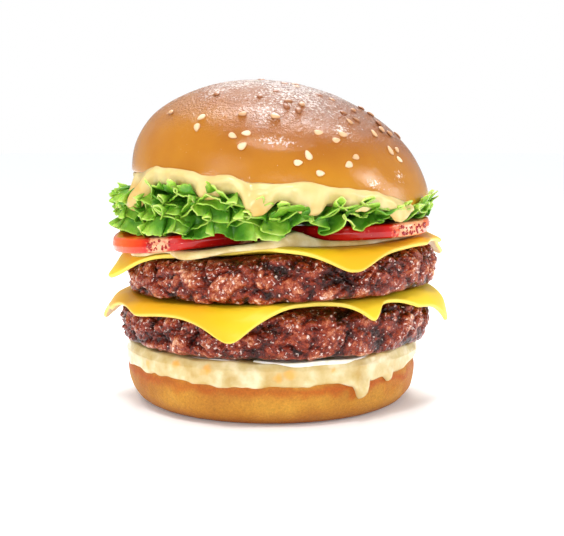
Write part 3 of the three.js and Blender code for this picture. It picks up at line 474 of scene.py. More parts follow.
def patty_top(patty, x, y):
    """Height of a patty's top over a point."""
    away = ((x - SWELL_PLACE[0]) ** 2 + (y - SWELL_PLACE[1]) ** 2) / SWELL_WIDTH**2
    return patty["top"] + patty["slope"] * x + patty["swell"] * np.exp(-away)


def patty_bottom(patty, x, y):
    """Height of a patty's underside: on the onion, or on the lower patty's cheese."""
    if patty is LOWER_PATTY:
        return np.full_like(x, ONION_FLOOR + ONION_THICKNESS + 2 * GAP)
    return patty_top(LOWER_PATTY, x, y) + CHEESE_THICKNESS + 2 * GAP


def pebbles(points, size, salt):
    """Packed pebbles of a size: how high each point lies on its own pebble, 0 to 1, and a number
    that is the pebble's own."""
    place = points / size
    cells = np.floor(place).astype(np.int64)
    nearest = np.full(len(place), 9.0)
    own = np.zeros(len(place))
    for offset in np.ndindex(3, 3, 3):
        cell = cells + np.array(offset) - 1
        middle = cell + np.column_stack([scatter(cell, salt + axis) for axis in range(3)])
        distance = np.linalg.norm(place - middle, axis=1)
        closer = distance < nearest
        own = np.where(closer, scatter(cell, salt + 7), own)
        nearest = np.where(closer, distance, nearest)
    return 1 - np.clip(nearest, 0, 1) ** 2, own


# Seared ground beef: grains of mince from dark red brown to tan, with painted shade that turns nearly black
# in the gaps and painted light on the proud lumps, small pale painted glints on the proud grains, and a
# film of hot grease.
seared_beef, tree = new_material("seared_ground_beef")
place = add_node(tree, "TexCoord", output="Object")
relief = add_node(tree, "Attribute", attribute_name="relief", output="Fac")
grain = add_node(tree, "Attribute", attribute_name="grain", output="Fac")
mince = add_node(tree, "TexNoise", {
    "Vector": place, "Scale": 1 / 0.0019, "Detail": 5, "Roughness": 0.8, "Distortion": 0.7})
patchy = add_node(tree, "TexNoise", {"Vector": place, "Scale": 1 / 0.009, "Detail": 2})
strong = add_node(tree, "MapRange", {
    "Value": mince, "From Min": 0.34, "From Max": 0.68, "To Min": -0.14, "To Max": 0.26})
# The relief paints shade into the gaps and light onto the proud lumps.
high = add_node(tree, "Math", {0: relief, 1: 0.62, 2: strong}, operation="MULTIPLY_ADD")
varied = add_node(tree, "Math", {0: grain, 1: 0.2, 2: high}, operation="MULTIPLY_ADD")
tone_and_relief_shade = add_node(tree, "Math", {0: patchy, 1: 0.3, 2: varied}, operation="MULTIPLY_ADD")
meat = add_node(tree, "ValToRGB", {"Fac": tone_and_relief_shade}, stops=(
    (0.34, "#140201"), (1.0, "#DCA680"), (0.45, "#300804"), (0.57, "#5A160A"), (0.71, "#842C16"),
    (0.85, "#AA5C3C")))
# Painted glints: pale specks on the proud grains, where grease would catch the lamps.
glint_noise = add_node(tree, "TexNoise", {"Vector": place, "Scale": 1 / 0.0011, "Detail": 2, "Roughness": 0.6})
glint_peaks = add_node(tree, "Math", {0: relief, 1: 0.14, 2: glint_noise}, operation="MULTIPLY_ADD")
flecks = add_node(tree, "MapRange", {
    "Value": glint_peaks, "From Min": 0.69, "From Max": 0.77, "To Max": 0.75})
with_painted_glints = add_node(tree, "Mix", {0: flecks, 6: meat, 7: linear("#F2DCD0")}, data_type="RGBA", output=2)
texture = add_node(tree, "TexNoise", {
    "Vector": place, "Scale": 1 / 0.0014, "Detail": 2, "Roughness": 0.7})
raised = add_node(tree, "Bump", {"Height": texture, "Strength": 1.0, "Distance": 0.0008})
set_inputs(tree.nodes["Principled BSDF"], {
    "Base Color": with_painted_glints, "Normal": raised, "Roughness": 0.36, "IOR": 1.4, "Specular IOR Level": 0.3,
    "Specular Tint": linear("#E0A898"), "Coat Weight": 0.4, "Coat Roughness": 0.12,
    "Coat Normal": raised})

for patty, salt in ((LOWER_PATTY, 20), (UPPER_PATTY, 60)):
    slab, heading, rise = ball(patty["name"] + "_beef", 800, 120)
    thickness = patty["top"] - patty_bottom(patty, np.zeros(1), np.zeros(1))[0]
    shoulder = PATTY_RADIUS - PATTY_SHOULDER
    waist = thickness - PATTY_SHOULDER
    foot = PATTY_RADIUS - PATTY_HEEL
    stretches = [
        (0.04, [[0, 0], [foot - PATTY_RIM_BAND, 0]]),
        (0.12, [[foot - PATTY_RIM_BAND, 0], [foot, 0]]),
        (0.36, arc((foot, waist), (PATTY_HEEL, waist), -90, 0)),
        (0.35, arc((shoulder, waist), (PATTY_SHOULDER, PATTY_SHOULDER), 0, 90)),
        (0.09, [[shoulder, thickness], [shoulder - PATTY_RIM_BAND, thickness]]),
        (0.04, [[shoulder - PATTY_RIM_BAND, thickness], [0, thickness]]),
    ]
    radius, height = section(stretches, rise)
    ahead, higher = section(stretches, np.clip(rise + 0.004, 0, 1))
    behind, lower = section(stretches, np.clip(rise - 0.004, 0, 1))
    length = np.hypot(ahead - behind, higher - lower)
    out, upward = (higher - lower) / length, (behind - ahead) / length
    points = around(heading, radius, height)
    swirl = np.column_stack([lumps(points, MINCE_SWIRL, salt + axis) for axis in range(3)]) - 0.5
    swirled = points + MINCE_SWIRL * swirl
    clump, _ = pebbles(swirled, CLUMP_WIDTH, salt)
    knob, knob_own = pebbles(swirled, KNOB_WIDTH, salt + 30)
    crumb, crumb_own = pebbles(points + CRUMB_SWIRL * swirl, CRUMB_WIDTH, salt + 60)
    crease = np.abs(2 * lumps(swirled, CREASE_WIDTH, salt + 5) - 1)
    grit = lumps(points, GRIT_WIDTH, salt + 9)
    depth = CLUMP_DEPTH * (1 - clump) + KNOB_DEPTH * (1 - knob) + CREASE_DEPTH * (1 - ease(crease, 0, 0.4))
    depth = depth + CRUMB_DEPTH * (1 - crumb) + GRIT_DEPTH * (1 - grit) - PROUDEST
    outwards = share_of(radius, shoulder - 4, shoulder + 2) * (0.35 + 0.65 * ease(height, 0, 5))
    dent = outwards * (depth + 0.5 * (1 + wander(heading, patty["phase"])))
    radius = np.maximum(radius - dent * np.abs(out), 0)
    height = height - 0.8 * dent * upward
    x = patty["x"] + radius * np.cos(heading)
    y = radius * np.sin(heading)
    bottom = patty_bottom(patty, x, y)
    stretch = patty_top(patty, x, y) - bottom - thickness
    press(slab, np.column_stack([x, y, bottom + height + np.clip(height / waist, 0, 1) * stretch]))
    # How proud each point stands; the material paints shade and light from it.
    note(slab, "relief", np.clip(1 - (depth + PROUDEST) / DEEPEST, 0, 1))
    note(slab, "grain", 0.35 * knob_own + 0.65 * crumb_own)
    slab.data.materials.append(seared_beef)
    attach(slab, "root")
    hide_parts(patty["name"])

# ---- Cheese slices --------------------------------------------------------------------------
# Square slices of processed cheese that softened over the hot patties. Each is a flat rounded
# square that was laid over a patty and let hang past its shoulder.

CHEESE_SLACK = 1.3
CHEESE_EDGE_GAP = 0.42
CHEESE_HALF_SIDE = 46
CHEESE_SQUARENESS = 20
CHEESE_LEAST_BEND = 6
CHEESE_FLAT_SHARE = 0.7
CHEESE_THINNING, CHEESE_THIN_MARGIN = 0.3, 5
# Width and strength of a painted highlight along the edge.
CHEESE_HIGHLIGHT_MARGIN, CHEESE_EDGE_HIGHLIGHT = 0.9, 0.45
CHEESE_WARM_FROM, CHEESE_WARM_TO = -2, 34
CHEESE_WAVE_DEPTH, CHEESE_WAVE_WIDTH = 1.6, 12
LOWER_CHEESE = {
    "name": "cheese_lower", "x": 0.5, "corner": -102.6, "droops": (84, 70, 66, 48), "warm_side": -1,
    "folds": [(-170, 5, 13), (-142, 11, 30), (-102.6, -1, 12), (-57, 12.5, 9), (-34, 8, 18),
              (-12.6, 2.5, 12), (120, 9, 16), (167.4, 4, 16)],
}
UPPER_CHEESE = {
    "name": "cheese_upper", "x": 4.5, "corner": -68, "droops": (62, 44, 70, 43), "warm_side": 1,
    "folds": [(-160, 2.6, 14), (-92, 2.4, 13), (-68, -3.6, 10), (-29, 7, 21), (-8, 5, 12),
              (20, 3, 14), (66, 5, 14)],
}


def drape(x, y, patty, lift, steepest):
    """Lays points of a flat sheet over a patty, and bends them down past its shoulder."""
    across = x - patty["x"]
    reach = np.hypot(across, y)
    heading = np.arctan2(y, across)
    shoulder = PATTY_RADIUS - PATTY_SHOULDER + CHEESE_SLACK
    excess = np.maximum(reach - shoulder, 0)
    bend = PATTY_SHOULDER + GAP + CHEESE_THICKNESS / 2
    slope = np.minimum(excess / bend, steepest)
    straight = excess - slope * bend
    over = PATTY_SHOULDER + lift + CHEESE_EDGE_GAP * np.sin(slope)
    radius = np.minimum(reach, shoulder) + over * np.sin(slope) + straight * np.cos(slope)
    x = patty["x"] + radius * np.cos(heading)
    y = radius * np.sin(heading)
    drop = PATTY_SHOULDER - over * np.cos(slope) + straight * np.sin(slope)
    return np.column_stack([x, y, patty_top(patty, x, y) - drop])


def fold_reach(folds, heading):
    """How far pointed folds of a slice reach at a heading in radians."""
    reach = np.zeros_like(heading)
    for at, depth, spread in folds:
        turn = np.abs((np.degrees(heading) - at + 180) % 360 - 180) / spread
        reach += depth * np.exp(-1.2 * turn**1.4)
    return reach


def square_reach(angle):
    """Distance to the edge of a rounded square, at an angle from one of its corners."""
    across = np.abs(np.cos(angle + np.pi / 4)) ** CHEESE_SQUARENESS
    along = np.abs(np.sin(angle + np.pi / 4)) ** CHEESE_SQUARENESS
    return CHEESE_HALF_SIDE / (across + along) ** (1 / CHEESE_SQUARENESS)


def disc(rise, flat_share, flat_rows):
    """For a ball pressed flat: how far out each row is, 0 to 1, and +1 on top or -1 below. The
    flat share of the way out takes the share flat_rows of the rows."""
    out = 1 - np.abs(2 * rise - 1)
    near = np.clip(out / flat_rows, 0, 1) * flat_share
    past = np.sin(np.clip((out - flat_rows) / (1 - flat_rows), 0, 1) * np.pi / 2)
    return near + past * (1 - flat_share), np.sign(np.round(rise - 0.5, 6))


# Processed cheese: smooth, even yellow, waxy, with a pale painted highlight along its edge.
processed_cheese, tree = new_material("processed_cheese")
place = add_node(tree, "TexCoord", output="Object")
edge_highlight = add_node(tree, "Attribute", attribute_name="edge_highlight", output="Fac")
warmth = add_node(tree, "Attribute", attribute_name="warmth", output="Fac")
clouds = add_node(tree, "TexNoise", {"Vector": place, "Scale": 1 / 0.02, "Detail": 2})
warm = add_node(tree, "Math", {0: clouds, 1: 0.5, 2: warmth}, operation="MULTIPLY_ADD")
yellow = add_node(tree, "ValToRGB", {"Fac": warm}, stops=(
    (0.2, "#E8C42E"), (1.0, "#DFA61C"), (0.7, "#D4AE16")))
edge_highlighted = add_node(tree, "Mix", {0: edge_highlight, 6: yellow, 7: linear("#F3E27C")}, data_type="RGBA", output=2)
soft = add_node(tree, "TexNoise", {"Vector": place, "Scale": 1 / 0.006, "Detail": 2})
raised = add_node(tree, "Bump", {"Height": soft, "Strength": 0.12, "Distance": 0.0015})
set_inputs(tree.nodes["Principled BSDF"], {
    "Base Color": edge_highlighted, "Normal": raised, "Roughness": 0.36, "Specular IOR Level": 0.2,
    "Subsurface Weight": 0.06, "Subsurface Radius": (1.0, 0.7, 0.2), "Subsurface Scale": 0.002})

for cheese, patty in ((LOWER_CHEESE, LOWER_PATTY), (UPPER_CHEESE, UPPER_PATTY)):
    slab, angle, rise = ball(cheese["name"] + "_slice", 400, 80)
    out, face = disc(rise, CHEESE_FLAT_SHARE, 0.3)
    heading = angle + math.radians(cheese["corner"])
    edge = square_reach(angle) + fold_reach(cheese["folds"], heading)
    flat = np.minimum(PATTY_RADIUS - PATTY_SHOULDER, edge - CHEESE_LEAST_BEND)
    past = share_of(out, CHEESE_FLAT_SHARE, 1)
    reach = flat * np.minimum(out, CHEESE_FLAT_SHARE) / CHEESE_FLAT_SHARE + (edge - flat) * past
    half = CHEESE_THICKNESS / 2
    from_edge = np.clip((edge - reach) / half, 0, 1)
    thinner = 1 - CHEESE_THINNING * np.clip(1 - (edge - reach) / CHEESE_THIN_MARGIN, 0, 1)
    level = face * half * thinner * (1 - (1 - from_edge) ** 4) ** 0.25
    turns = (angle / (np.pi / 2)) % 4
    corner = np.floor(turns).astype(int) % 4
    droops = np.radians(cheese["droops"])
    share = ease(turns - np.floor(turns), 0, 1)
    droop = droops[corner] + (droops[(corner + 1) % 4] - droops[corner]) * share
    x = cheese["x"] + reach * np.cos(heading)
    y = reach * np.sin(heading)
    flat_points = np.column_stack([x, y, np.zeros_like(x)])
    wave = CHEESE_WAVE_DEPTH * (lumps(flat_points, CHEESE_WAVE_WIDTH, 90) - 0.4) * np.clip(past * 2, 0, 1)
    points = drape(x, y, patty, GAP + half + level + np.maximum(wave, -0.1), droop)
    press(slab, points)
    # A pale painted highlight along the slice's edge.
    pale = np.clip(1 - (edge - reach) / CHEESE_HIGHLIGHT_MARGIN, 0, 1) ** 1.5
    note(slab, "edge_highlight", pale * CHEESE_EDGE_HIGHLIGHT)
    note(slab, "warmth", ease(cheese["warm_side"] * points[:, 0], CHEESE_WARM_FROM, CHEESE_WARM_TO))
    slab.data.materials.append(processed_cheese)
    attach(slab, "root")
    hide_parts(cheese["name"])

# ---- Cream sauce on the upper cheese --------------------------------------------------------
# A thin spill of the same mayonnaise. It lies on the cheese, hides its edge on the left, and
# wells up at the front where two tomato slices press on it.

SAUCE_FLOOR = CHEESE_THICKNESS + 2.5 * GAP
MIDDLE_SAUCE_RADIUS = 46
MIDDLE_SAUCE_THICKNESS = 0.8
MIDDLE_SAUCE_EDGE = 0.9
MIDDLE_SAUCE_BEAD, BEAD_PLACE, BEAD_WIDTH = 0.6, 1.5, 1.6
MIDDLE_SAUCE_RAGS = [(2.4, 7)]
MIDDLE_SAUCE_STEEPEST = 75
MIDDLE_SAUCE_LOBES = [
    (-152, 8.5, 16), (-122, 8, 14), (-97, 5, 13), (-30, 1.5, 14), (50, 6, 16), (118, 8, 14), (176, 5, 12),
]
WELL_PLACE = (5, -42)
WELL_HEIGHT = 4.2
WELL_WIDTH = 7.5

spill, heading, rise = ball("sauce_middle_mayonnaise", 400, 64)
out, face = disc(rise, 0.7, 0.25)
rim_points = around(heading, MIDDLE_SAUCE_RADIUS, np.zeros_like(heading))
edge = MIDDLE_SAUCE_RADIUS + lobe_reach(MIDDLE_SAUCE_LOBES, heading)
edge = edge + bumps(rim_points, MIDDLE_SAUCE_RAGS, 40)
reach = out * edge
from_edge = share_of(edge - reach, 0, MIDDLE_SAUCE_EDGE)
bead = MIDDLE_SAUCE_BEAD * bell(edge - reach, BEAD_PLACE, BEAD_WIDTH)
thick = (MIDDLE_SAUCE_THICKNESS + bead) * rounded(from_edge)
x = UPPER_PATTY["x"] + reach * np.cos(heading)
y = reach * np.sin(heading)
well = WELL_HEIGHT * bell(x, WELL_PLACE[0], WELL_WIDTH) * bell(y, WELL_PLACE[1], WELL_WIDTH)
thick = np.where(face > 0, thick + from_edge * well, 0)
steepest = math.radians(MIDDLE_SAUCE_STEEPEST)
press(spill, drape(x, y, UPPER_PATTY, SAUCE_FLOOR - 0.3 * (face < 0) + thick, steepest))
spill.data.materials.append(mayonnaise)
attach(spill, "root")
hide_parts("sauce_middle")

# ---- Tomato slices --------------------------------------------------------------------------
# Thick slices cut across a ripe tomato, with their skin round the side. Each is a pressed ball,
# and a slice that lies against another is cut to it with a Boolean.

TOMATO_THICKNESS = 4.8
TOMATO_EDGE = 1.1
TOMATO_BELLY = 0.3
TOMATO_SAG = 0.01
TOMATO_UNROUNDNESS = 0.012
TOMATO_DENTS = [(0.35, 9)]
TOMATO_FLOOR = SAUCE_FLOOR + MIDDLE_SAUCE_THICKNESS + 1.5 * GAP
TOMATOES = [("tomato_left", -25, -15, 28.5), ("tomato_right", 25, -12, 28.5), ("tomato_back", 1, 29, 26)]
# Patches of droplets on the skin; each patch also gets a pale painted highlight.
DROPLET_PATCHES = [
    # slice, heading, half spread in degrees, count
    (0, -112, 9, 26), (0, -52, 6, 9), (1, -42, 19, 50), (1, 10, 16, 14),
    (2, 60, 20, 18), (2, 110, 16, 12),
]
DROPLET_LOWEST, DROPLET_SPAN = 0.9, 3.0
DROPLET_LEAST_RADIUS, DROPLET_GROWTH = 0.26, 0.4


def tomato_bed(x, y):
    """Height of the underside of the tomato over a point."""
    past = np.maximum(np.hypot(x - UPPER_PATTY["x"], y) - PATTY_RADIUS + PATTY_SHOULDER, 0)
    return patty_top(UPPER_PATTY, x, y) + TOMATO_FLOOR - TOMATO_SAG * past**2


def tomato_ball(name, x, y, radius, grow=0.0):
    """One whole slice, or a larger one to cut with."""
    piece, heading, rise = ball(name, 240, 48)
    high = TOMATO_THICKNESS + grow
    full = radius + grow
    flat = full - TOMATO_EDGE
    low_bend, high_bend = TOMATO_EDGE - grow, high - TOMATO_EDGE
    reach, height = section([
        (0.25, [[0, -grow], [flat, -grow]]),
        (0.15, arc((flat, low_bend), (TOMATO_EDGE, TOMATO_EDGE), -90, 0)),
        (0.2, [[full, low_bend], [full + TOMATO_BELLY, high / 2], [full, high_bend]]),
        (0.15, arc((flat, high_bend), (TOMATO_EDGE, TOMATO_EDGE), 0, 90)),
        (0.25, [[flat, high], [0, high]]),
    ], rise)
    reach = reach * (1 + TOMATO_UNROUNDNESS * wander(heading, x))
    points = around(heading, reach, height) + [x, y, 0]
    points[:, 2] += bumps(points, TOMATO_DENTS, 50) + tomato_bed(points[:, 0], points[:, 1])
    press(piece, points)
    return piece


# Ripe tomato: glossy wet skin, deep red, turning orange towards the burger's two sides, with a pale painted
# highlight, broken into flecks, where the droplets sit.
ripe_tomato, tree = new_material("ripe_tomato")
place = add_node(tree, "TexCoord", output="Object")
ripeness = add_node(tree, "TexNoise", {"Vector": place, "Scale": 1 / 0.02, "Detail": 3})
rightward = add_node(tree, "SeparateXYZ", {"Vector": place}, output="X")
outward = add_node(tree, "Math", {0: rightward}, operation="ABSOLUTE")
# More orange towards the burger's two sides.
ends = add_node(tree, "MapRange", {
    "Value": outward, "From Min": 0.034, "From Max": 0.052, "To Max": 0.55})
redness = add_node(tree, "Math", {0: ripeness, 1: ends}, operation="ADD")
red = add_node(tree, "ValToRGB", {"Fac": redness}, stops=(
    (0.35, "#980206"), (0.95, "#E8600A"), (0.62, "#BE0C04")))
# A pale painted highlight, broken into flecks by fine noise, in the patches where the droplets sit.
flecks = add_node(tree, "TexNoise", {"Vector": place, "Scale": 1 / 0.0012, "Detail": 2})
painted_highlight = add_node(tree, "Attribute", attribute_name="painted_highlight", output="Fac")
spread = add_node(tree, "Math", {0: painted_highlight, 1: 0.5, 2: flecks}, operation="MULTIPLY_ADD")
highlight_share = add_node(tree, "MapRange", {"Value": spread, "From Min": 0.66, "From Max": 1.0, "To Max": 0.8})
with_painted_glints = add_node(tree, "Mix", {0: highlight_share, 6: red, 7: linear("#F4B888")}, data_type="RGBA", output=2)
raised = add_node(tree, "Bump", {"Height": flecks, "Strength": 0.12, "Distance": 0.0004})
set_inputs(tree.nodes["Principled BSDF"], {
    "Base Color": with_painted_glints, "Normal": raised, "Roughness": 0.3, "Specular IOR Level": 0.1,
    "Subsurface Weight": 0.06, "Subsurface Radius": (1.0, 0.2, 0.1), "Subsurface Scale": 0.002,
    "Coat Weight": 0.7, "Coat Roughness": 0.05})

for order, (node, x, y, radius) in enumerate(TOMATOES):
    slab = tomato_ball(node + "_slice", x, y, radius)
    for _, other_x, other_y, other_radius in TOMATOES[:order]:
        cutter = tomato_ball("cutter", other_x, other_y, other_radius, GAP)
        apply_modifier(slab, "BOOLEAN", object=cutter, operation="DIFFERENCE", solver="EXACT")
        bpy.data.objects.remove(cutter)
    # Where the droplets sit, the skin gets a pale painted highlight.
    corners = corners_of(slab) / MM
    bearing = np.arctan2(corners[:, 1] - y, corners[:, 0] - x)
    highlight_patches = [lobe_reach([(at, 1, spread)], bearing) for on, at, spread, _ in DROPLET_PATCHES if on == order]
    note(slab, "painted_highlight", np.max(highlight_patches, axis=0))
    slab.data.materials.append(ripe_tomato)
    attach(slab, "root")
    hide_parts(node)


def own_copy(piece):
    """A copy of a piece, with a mesh of its own."""
    copy = piece.copy()
    copy.data = piece.data.copy()
    bpy.context.collection.objects.link(copy)
    return copy


def join(pieces, name):
    """Makes one piece of several, and names it."""
    bpy.ops.object.select_all(action="DESELECT")
    for piece in pieces:
        piece.select_set(True)
    bpy.context.view_layer.objects.active = pieces[0]
    bpy.ops.object.join()
    pieces[0].name = name
    pieces[0].data.name = name
    return pieces[0]


# Droplets of juice on the tomato skin. One is a ball pressed low. It is copied, each copy with its
# own mesh, and set on the skin in patches.
bead, heading, rise = ball("bead", 8, 6)
corners = corners_of(bead)
beads = []
for patch, (slice_order, at, spread, count) in enumerate(DROPLET_PATCHES):
    _, slice_x, slice_y, slice_radius = TOMATOES[slice_order]
    for order in range(count):
        draw = scatter(np.array([[patch, order, axis] for axis in range(3)]), 55)
        bearing = math.radians(at + spread * (2 * draw[0] - 1))
        out = np.array([math.cos(bearing), math.sin(bearing), 0])
        side = np.array([-out[1], out[0], 0])
        skin = slice_radius * (1 + TOMATO_UNROUNDNESS * wander(bearing, slice_x)) + TOMATO_BELLY / 2
        spot = out * skin + [slice_x, slice_y, 0]
        spot[2] = tomato_bed(spot[0], spot[1]) + DROPLET_LOWEST + DROPLET_SPAN * draw[1]
        size = DROPLET_LEAST_RADIUS + DROPLET_GROWTH * draw[2] ** 2
        squashed = corners[:, :1] * side + corners[:, 1:2] * [0, 0, 1.1] + 0.55 * corners[:, 2:] * out
        copy = own_copy(bead)
        press(copy, size * squashed + spot)
        beads.append(copy)
bpy.data.objects.remove(bead)
droplets = join(beads, "tomato_droplets")

# Watery juice: very glossy, and dark red where the skin shows through it.
tomato_juice, tree = new_material("tomato_juice")
set_inputs(tree.nodes["Principled BSDF"], {
    "Base Color": linear("#960E08"), "Roughness": 0.05, "IOR": 1.5})
droplets.data.materials.append(tomato_juice)
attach(droplets, "root")
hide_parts("tomato_left", "tomato_right")

# ---- Lettuce --------------------------------------------------------------------------------
# Curly green leaves, laid in layers on the tomato. Each tier is a flat grid bent round the
# burger. It lies flat inside, turns down outside, and frills more and more to its toothed edge.

# The crown's place and size, because the leaves stay under it.
CROWN_PLACE = (3, 0, 74.6)
CROWN_TILT = 6.8
CROWN_RADIUS = 52.2
CROWN_UNDERSIDE = 1.8
CROWN_SAUCE_THICKNESS = 0.7
LETTUCE_THICKNESS = 0.46
FILLING_RADIUS = 52
LETTUCE_FOLDS = 25
LETTUCE_CURL = 60
RUFFLE_DEPTH, RUFFLE_SWING = 3.0, 1.7
PLEAT_DEPTH, PLEAT_SWING = 1.0, 0.6
CRIMP_DEPTH = 0.3
TOOTH_LENGTH, SCALLOP_LENGTH = 0.32, 0.35
LEAF_GAP = 0.4
COLUMNS_PER_DEGREE = 3
LETTUCE_INNER_ROWS = 8
LETTUCE_OUTER_ROWS = 28
LETTUCE_TIERS = {
    # "reach" is how far out the toothed edge is, "edge" its height and "droop" the angle the leaf
    # falls at, each by heading
    "lettuce_left": [
        {"span": (-200, -86), "foot": 14, "hang": 8, "phase": 0.6,
         "reach": [(-200, 53.6), (-165, 53.8), (-140, 55), (-118, 54.5), (-86, 53)],
         "edge": [(-200, 61.4), (-175, 59.8), (-150, 59.8), (-118, 61.2), (-103, 61.2), (-97, 60),
                  (-93, 61.4), (-90, 60.4), (-86, 61.6)],
         "droop": [(-200, 40), (-150, 60), (-86, 75)]},
        {"span": (-199, -88), "foot": 18, "hang": 6.5, "phase": 1.9,
         "reach": [(-199, 53), (-165, 53.2), (-140, 54.4), (-88, 53.4)],
         "edge": [(-199, 65), (-150, 64.6), (-118, 65.4), (-88, 64.2)],
         "droop": [(-199, 40), (-150, 50), (-88, 60)]},
        {"span": (-198, -90), "foot": 20, "hang": 6.5, "phase": 3.4,
         "reach": [(-198, 53.4), (-165, 53.6), (-140, 55), (-90, 54)],
         "edge": [(-198, 68), (-150, 67.8), (-118, 67.8), (-90, 66.4)],
         "droop": [(-198, 30), (-150, 45), (-90, 55)]},
    ],
    "lettuce_left_top": [
        {"span": (-198, -88), "foot": 20, "hang": 6.5, "phase": 2.2,
         "reach": [(-198, 54), (-150, 54.4), (-88, 54)],
         "edge": [(-198, 70.6), (-180, 69), (-150, 69), (-118, 70), (-88, 68.4)],
         "droop": [(-198, 30), (-150, 40), (-88, 55)]},
        {"span": (-192, -90), "foot": 22, "hang": 6, "phase": 4.0,
         "reach": [(-192, 53.6), (-166, 52.6), (-146, 51.6), (-130, 55), (-90, 55)],
         "edge": [(-192, 73), (-180, 71), (-162, 69.6), (-156, 67.4), (-142, 67.4), (-136, 73.4),
                  (-118, 73.2), (-98, 70.6), (-90, 69.6)],
         "droop": [(-192, 10), (-150, 30), (-118, 10), (-90, 30)]},
        {"span": (-180, -93), "foot": 24, "hang": 5.5, "phase": 5.1,
         "reach": [(-180, 52.6), (-166, 51.6), (-146, 50.6), (-138, 53.4), (-130, 55.8), (-93, 55.6)],
         "edge": [(-180, 72), (-166, 69), (-158, 66.6), (-142, 66.6), (-135, 76), (-130, 77.4),
                  (-118, 75.8), (-108, 77), (-98, 71.6), (-93, 70.4)],
         "droop": [(-180, 10), (-150, 10), (-118, -45), (-93, 0)]},
    ],
    "lettuce_right": [
        {"span": (-92, 36), "foot": 14, "hang": 6.5, "phase": 1.4,
         "reach": [(-92, 53.4), (-60, 54), (-20, 55), (36, 55)],
         "edge": [(-92, 62.6), (-87, 62.4), (-84, 64.6), (-79, 65.4), (-75, 64), (-70, 62.6),
                  (-66, 64.4), (-60, 63), (-55, 64.6), (-47, 67), (-38, 65.8), (-25, 65.6),
                  (-8, 66.4), (36, 66)],
         "droop": [(-92, 70), (-55, 65), (-40, 35), (-25, 15), (36, 10)]},
        {"span": (-91, 35), "foot": 18, "hang": 6, "phase": 2.7,
         "reach": [(-91, 54), (-60, 54.4), (-20, 55), (35, 55)],
         "edge": [(-91, 67.4), (-75, 68), (-60, 67.2), (-45, 67.6), (-25, 68.4), (35, 68)],
         "droop": [(-91, 50), (-55, 40), (-35, 0), (35, -10)]},
        {"span": (-90, 34), "foot": 20, "hang": 6, "phase": 4.4,
         "reach": [(-90, 56.4), (-75, 56.8), (-45, 56.8), (-20, 55.6), (34, 55.6)],
         "edge": [(-90, 70), (-82, 69.4), (-75, 68.6), (-68, 70.2), (-60, 69), (-50, 68.2), (-42, 68),
                  (-36, 69.6), (-28, 71.6), (0, 71.6), (20, 71), (34, 69)],
         "droop": [(-90, -10), (-70, -20), (-50, -10), (-30, -55), (10, -55), (34, -30)]},
    ],
    "lettuce_back": [
        {"span": (42, 146), "foot": 14, "hang": 7, "phase": 0.2,
         "reach": [(42, 54), (146, 54)],
         "edge": [(42, 64.6), (90, 63), (146, 63.4)], "droop": [(42, 50), (146, 60)]},
        {"span": (44, 148), "foot": 18, "hang": 6.5, "phase": 1.6,
         "reach": [(44, 54.4), (148, 54)],
         "edge": [(44, 67.4), (90, 66.6), (148, 68)], "droop": [(44, 30), (148, 40)]},
        {"span": (46, 150), "foot": 20, "hang": 6, "phase": 3.1,
         "reach": [(46, 55), (150, 54.6)],
         "edge": [(46, 70.6), (90, 70.6), (150, 72.4)], "droop": [(46, 0), (150, 20)]},
    ],
}


def crown_floor(x):
    """Height of the underside of the crown's sauce over a point, without its drips."""
    rim_height = CROWN_PLACE[2] - math.tan(math.radians(CROWN_TILT)) * (x - CROWN_PLACE[0])
    return rim_height - CROWN_UNDERSIDE - GAP - CROWN_SAUCE_THICKNESS


def under_tomato(x, y):
    """1 over a tomato slice and 0 beside it."""
    inside = [radius + 1.2 - np.hypot(x - at_x, y - at_y) for _, at_x, at_y, radius in TOMATOES]
    return ease(np.max(inside, axis=0), -1.5, 0.5)


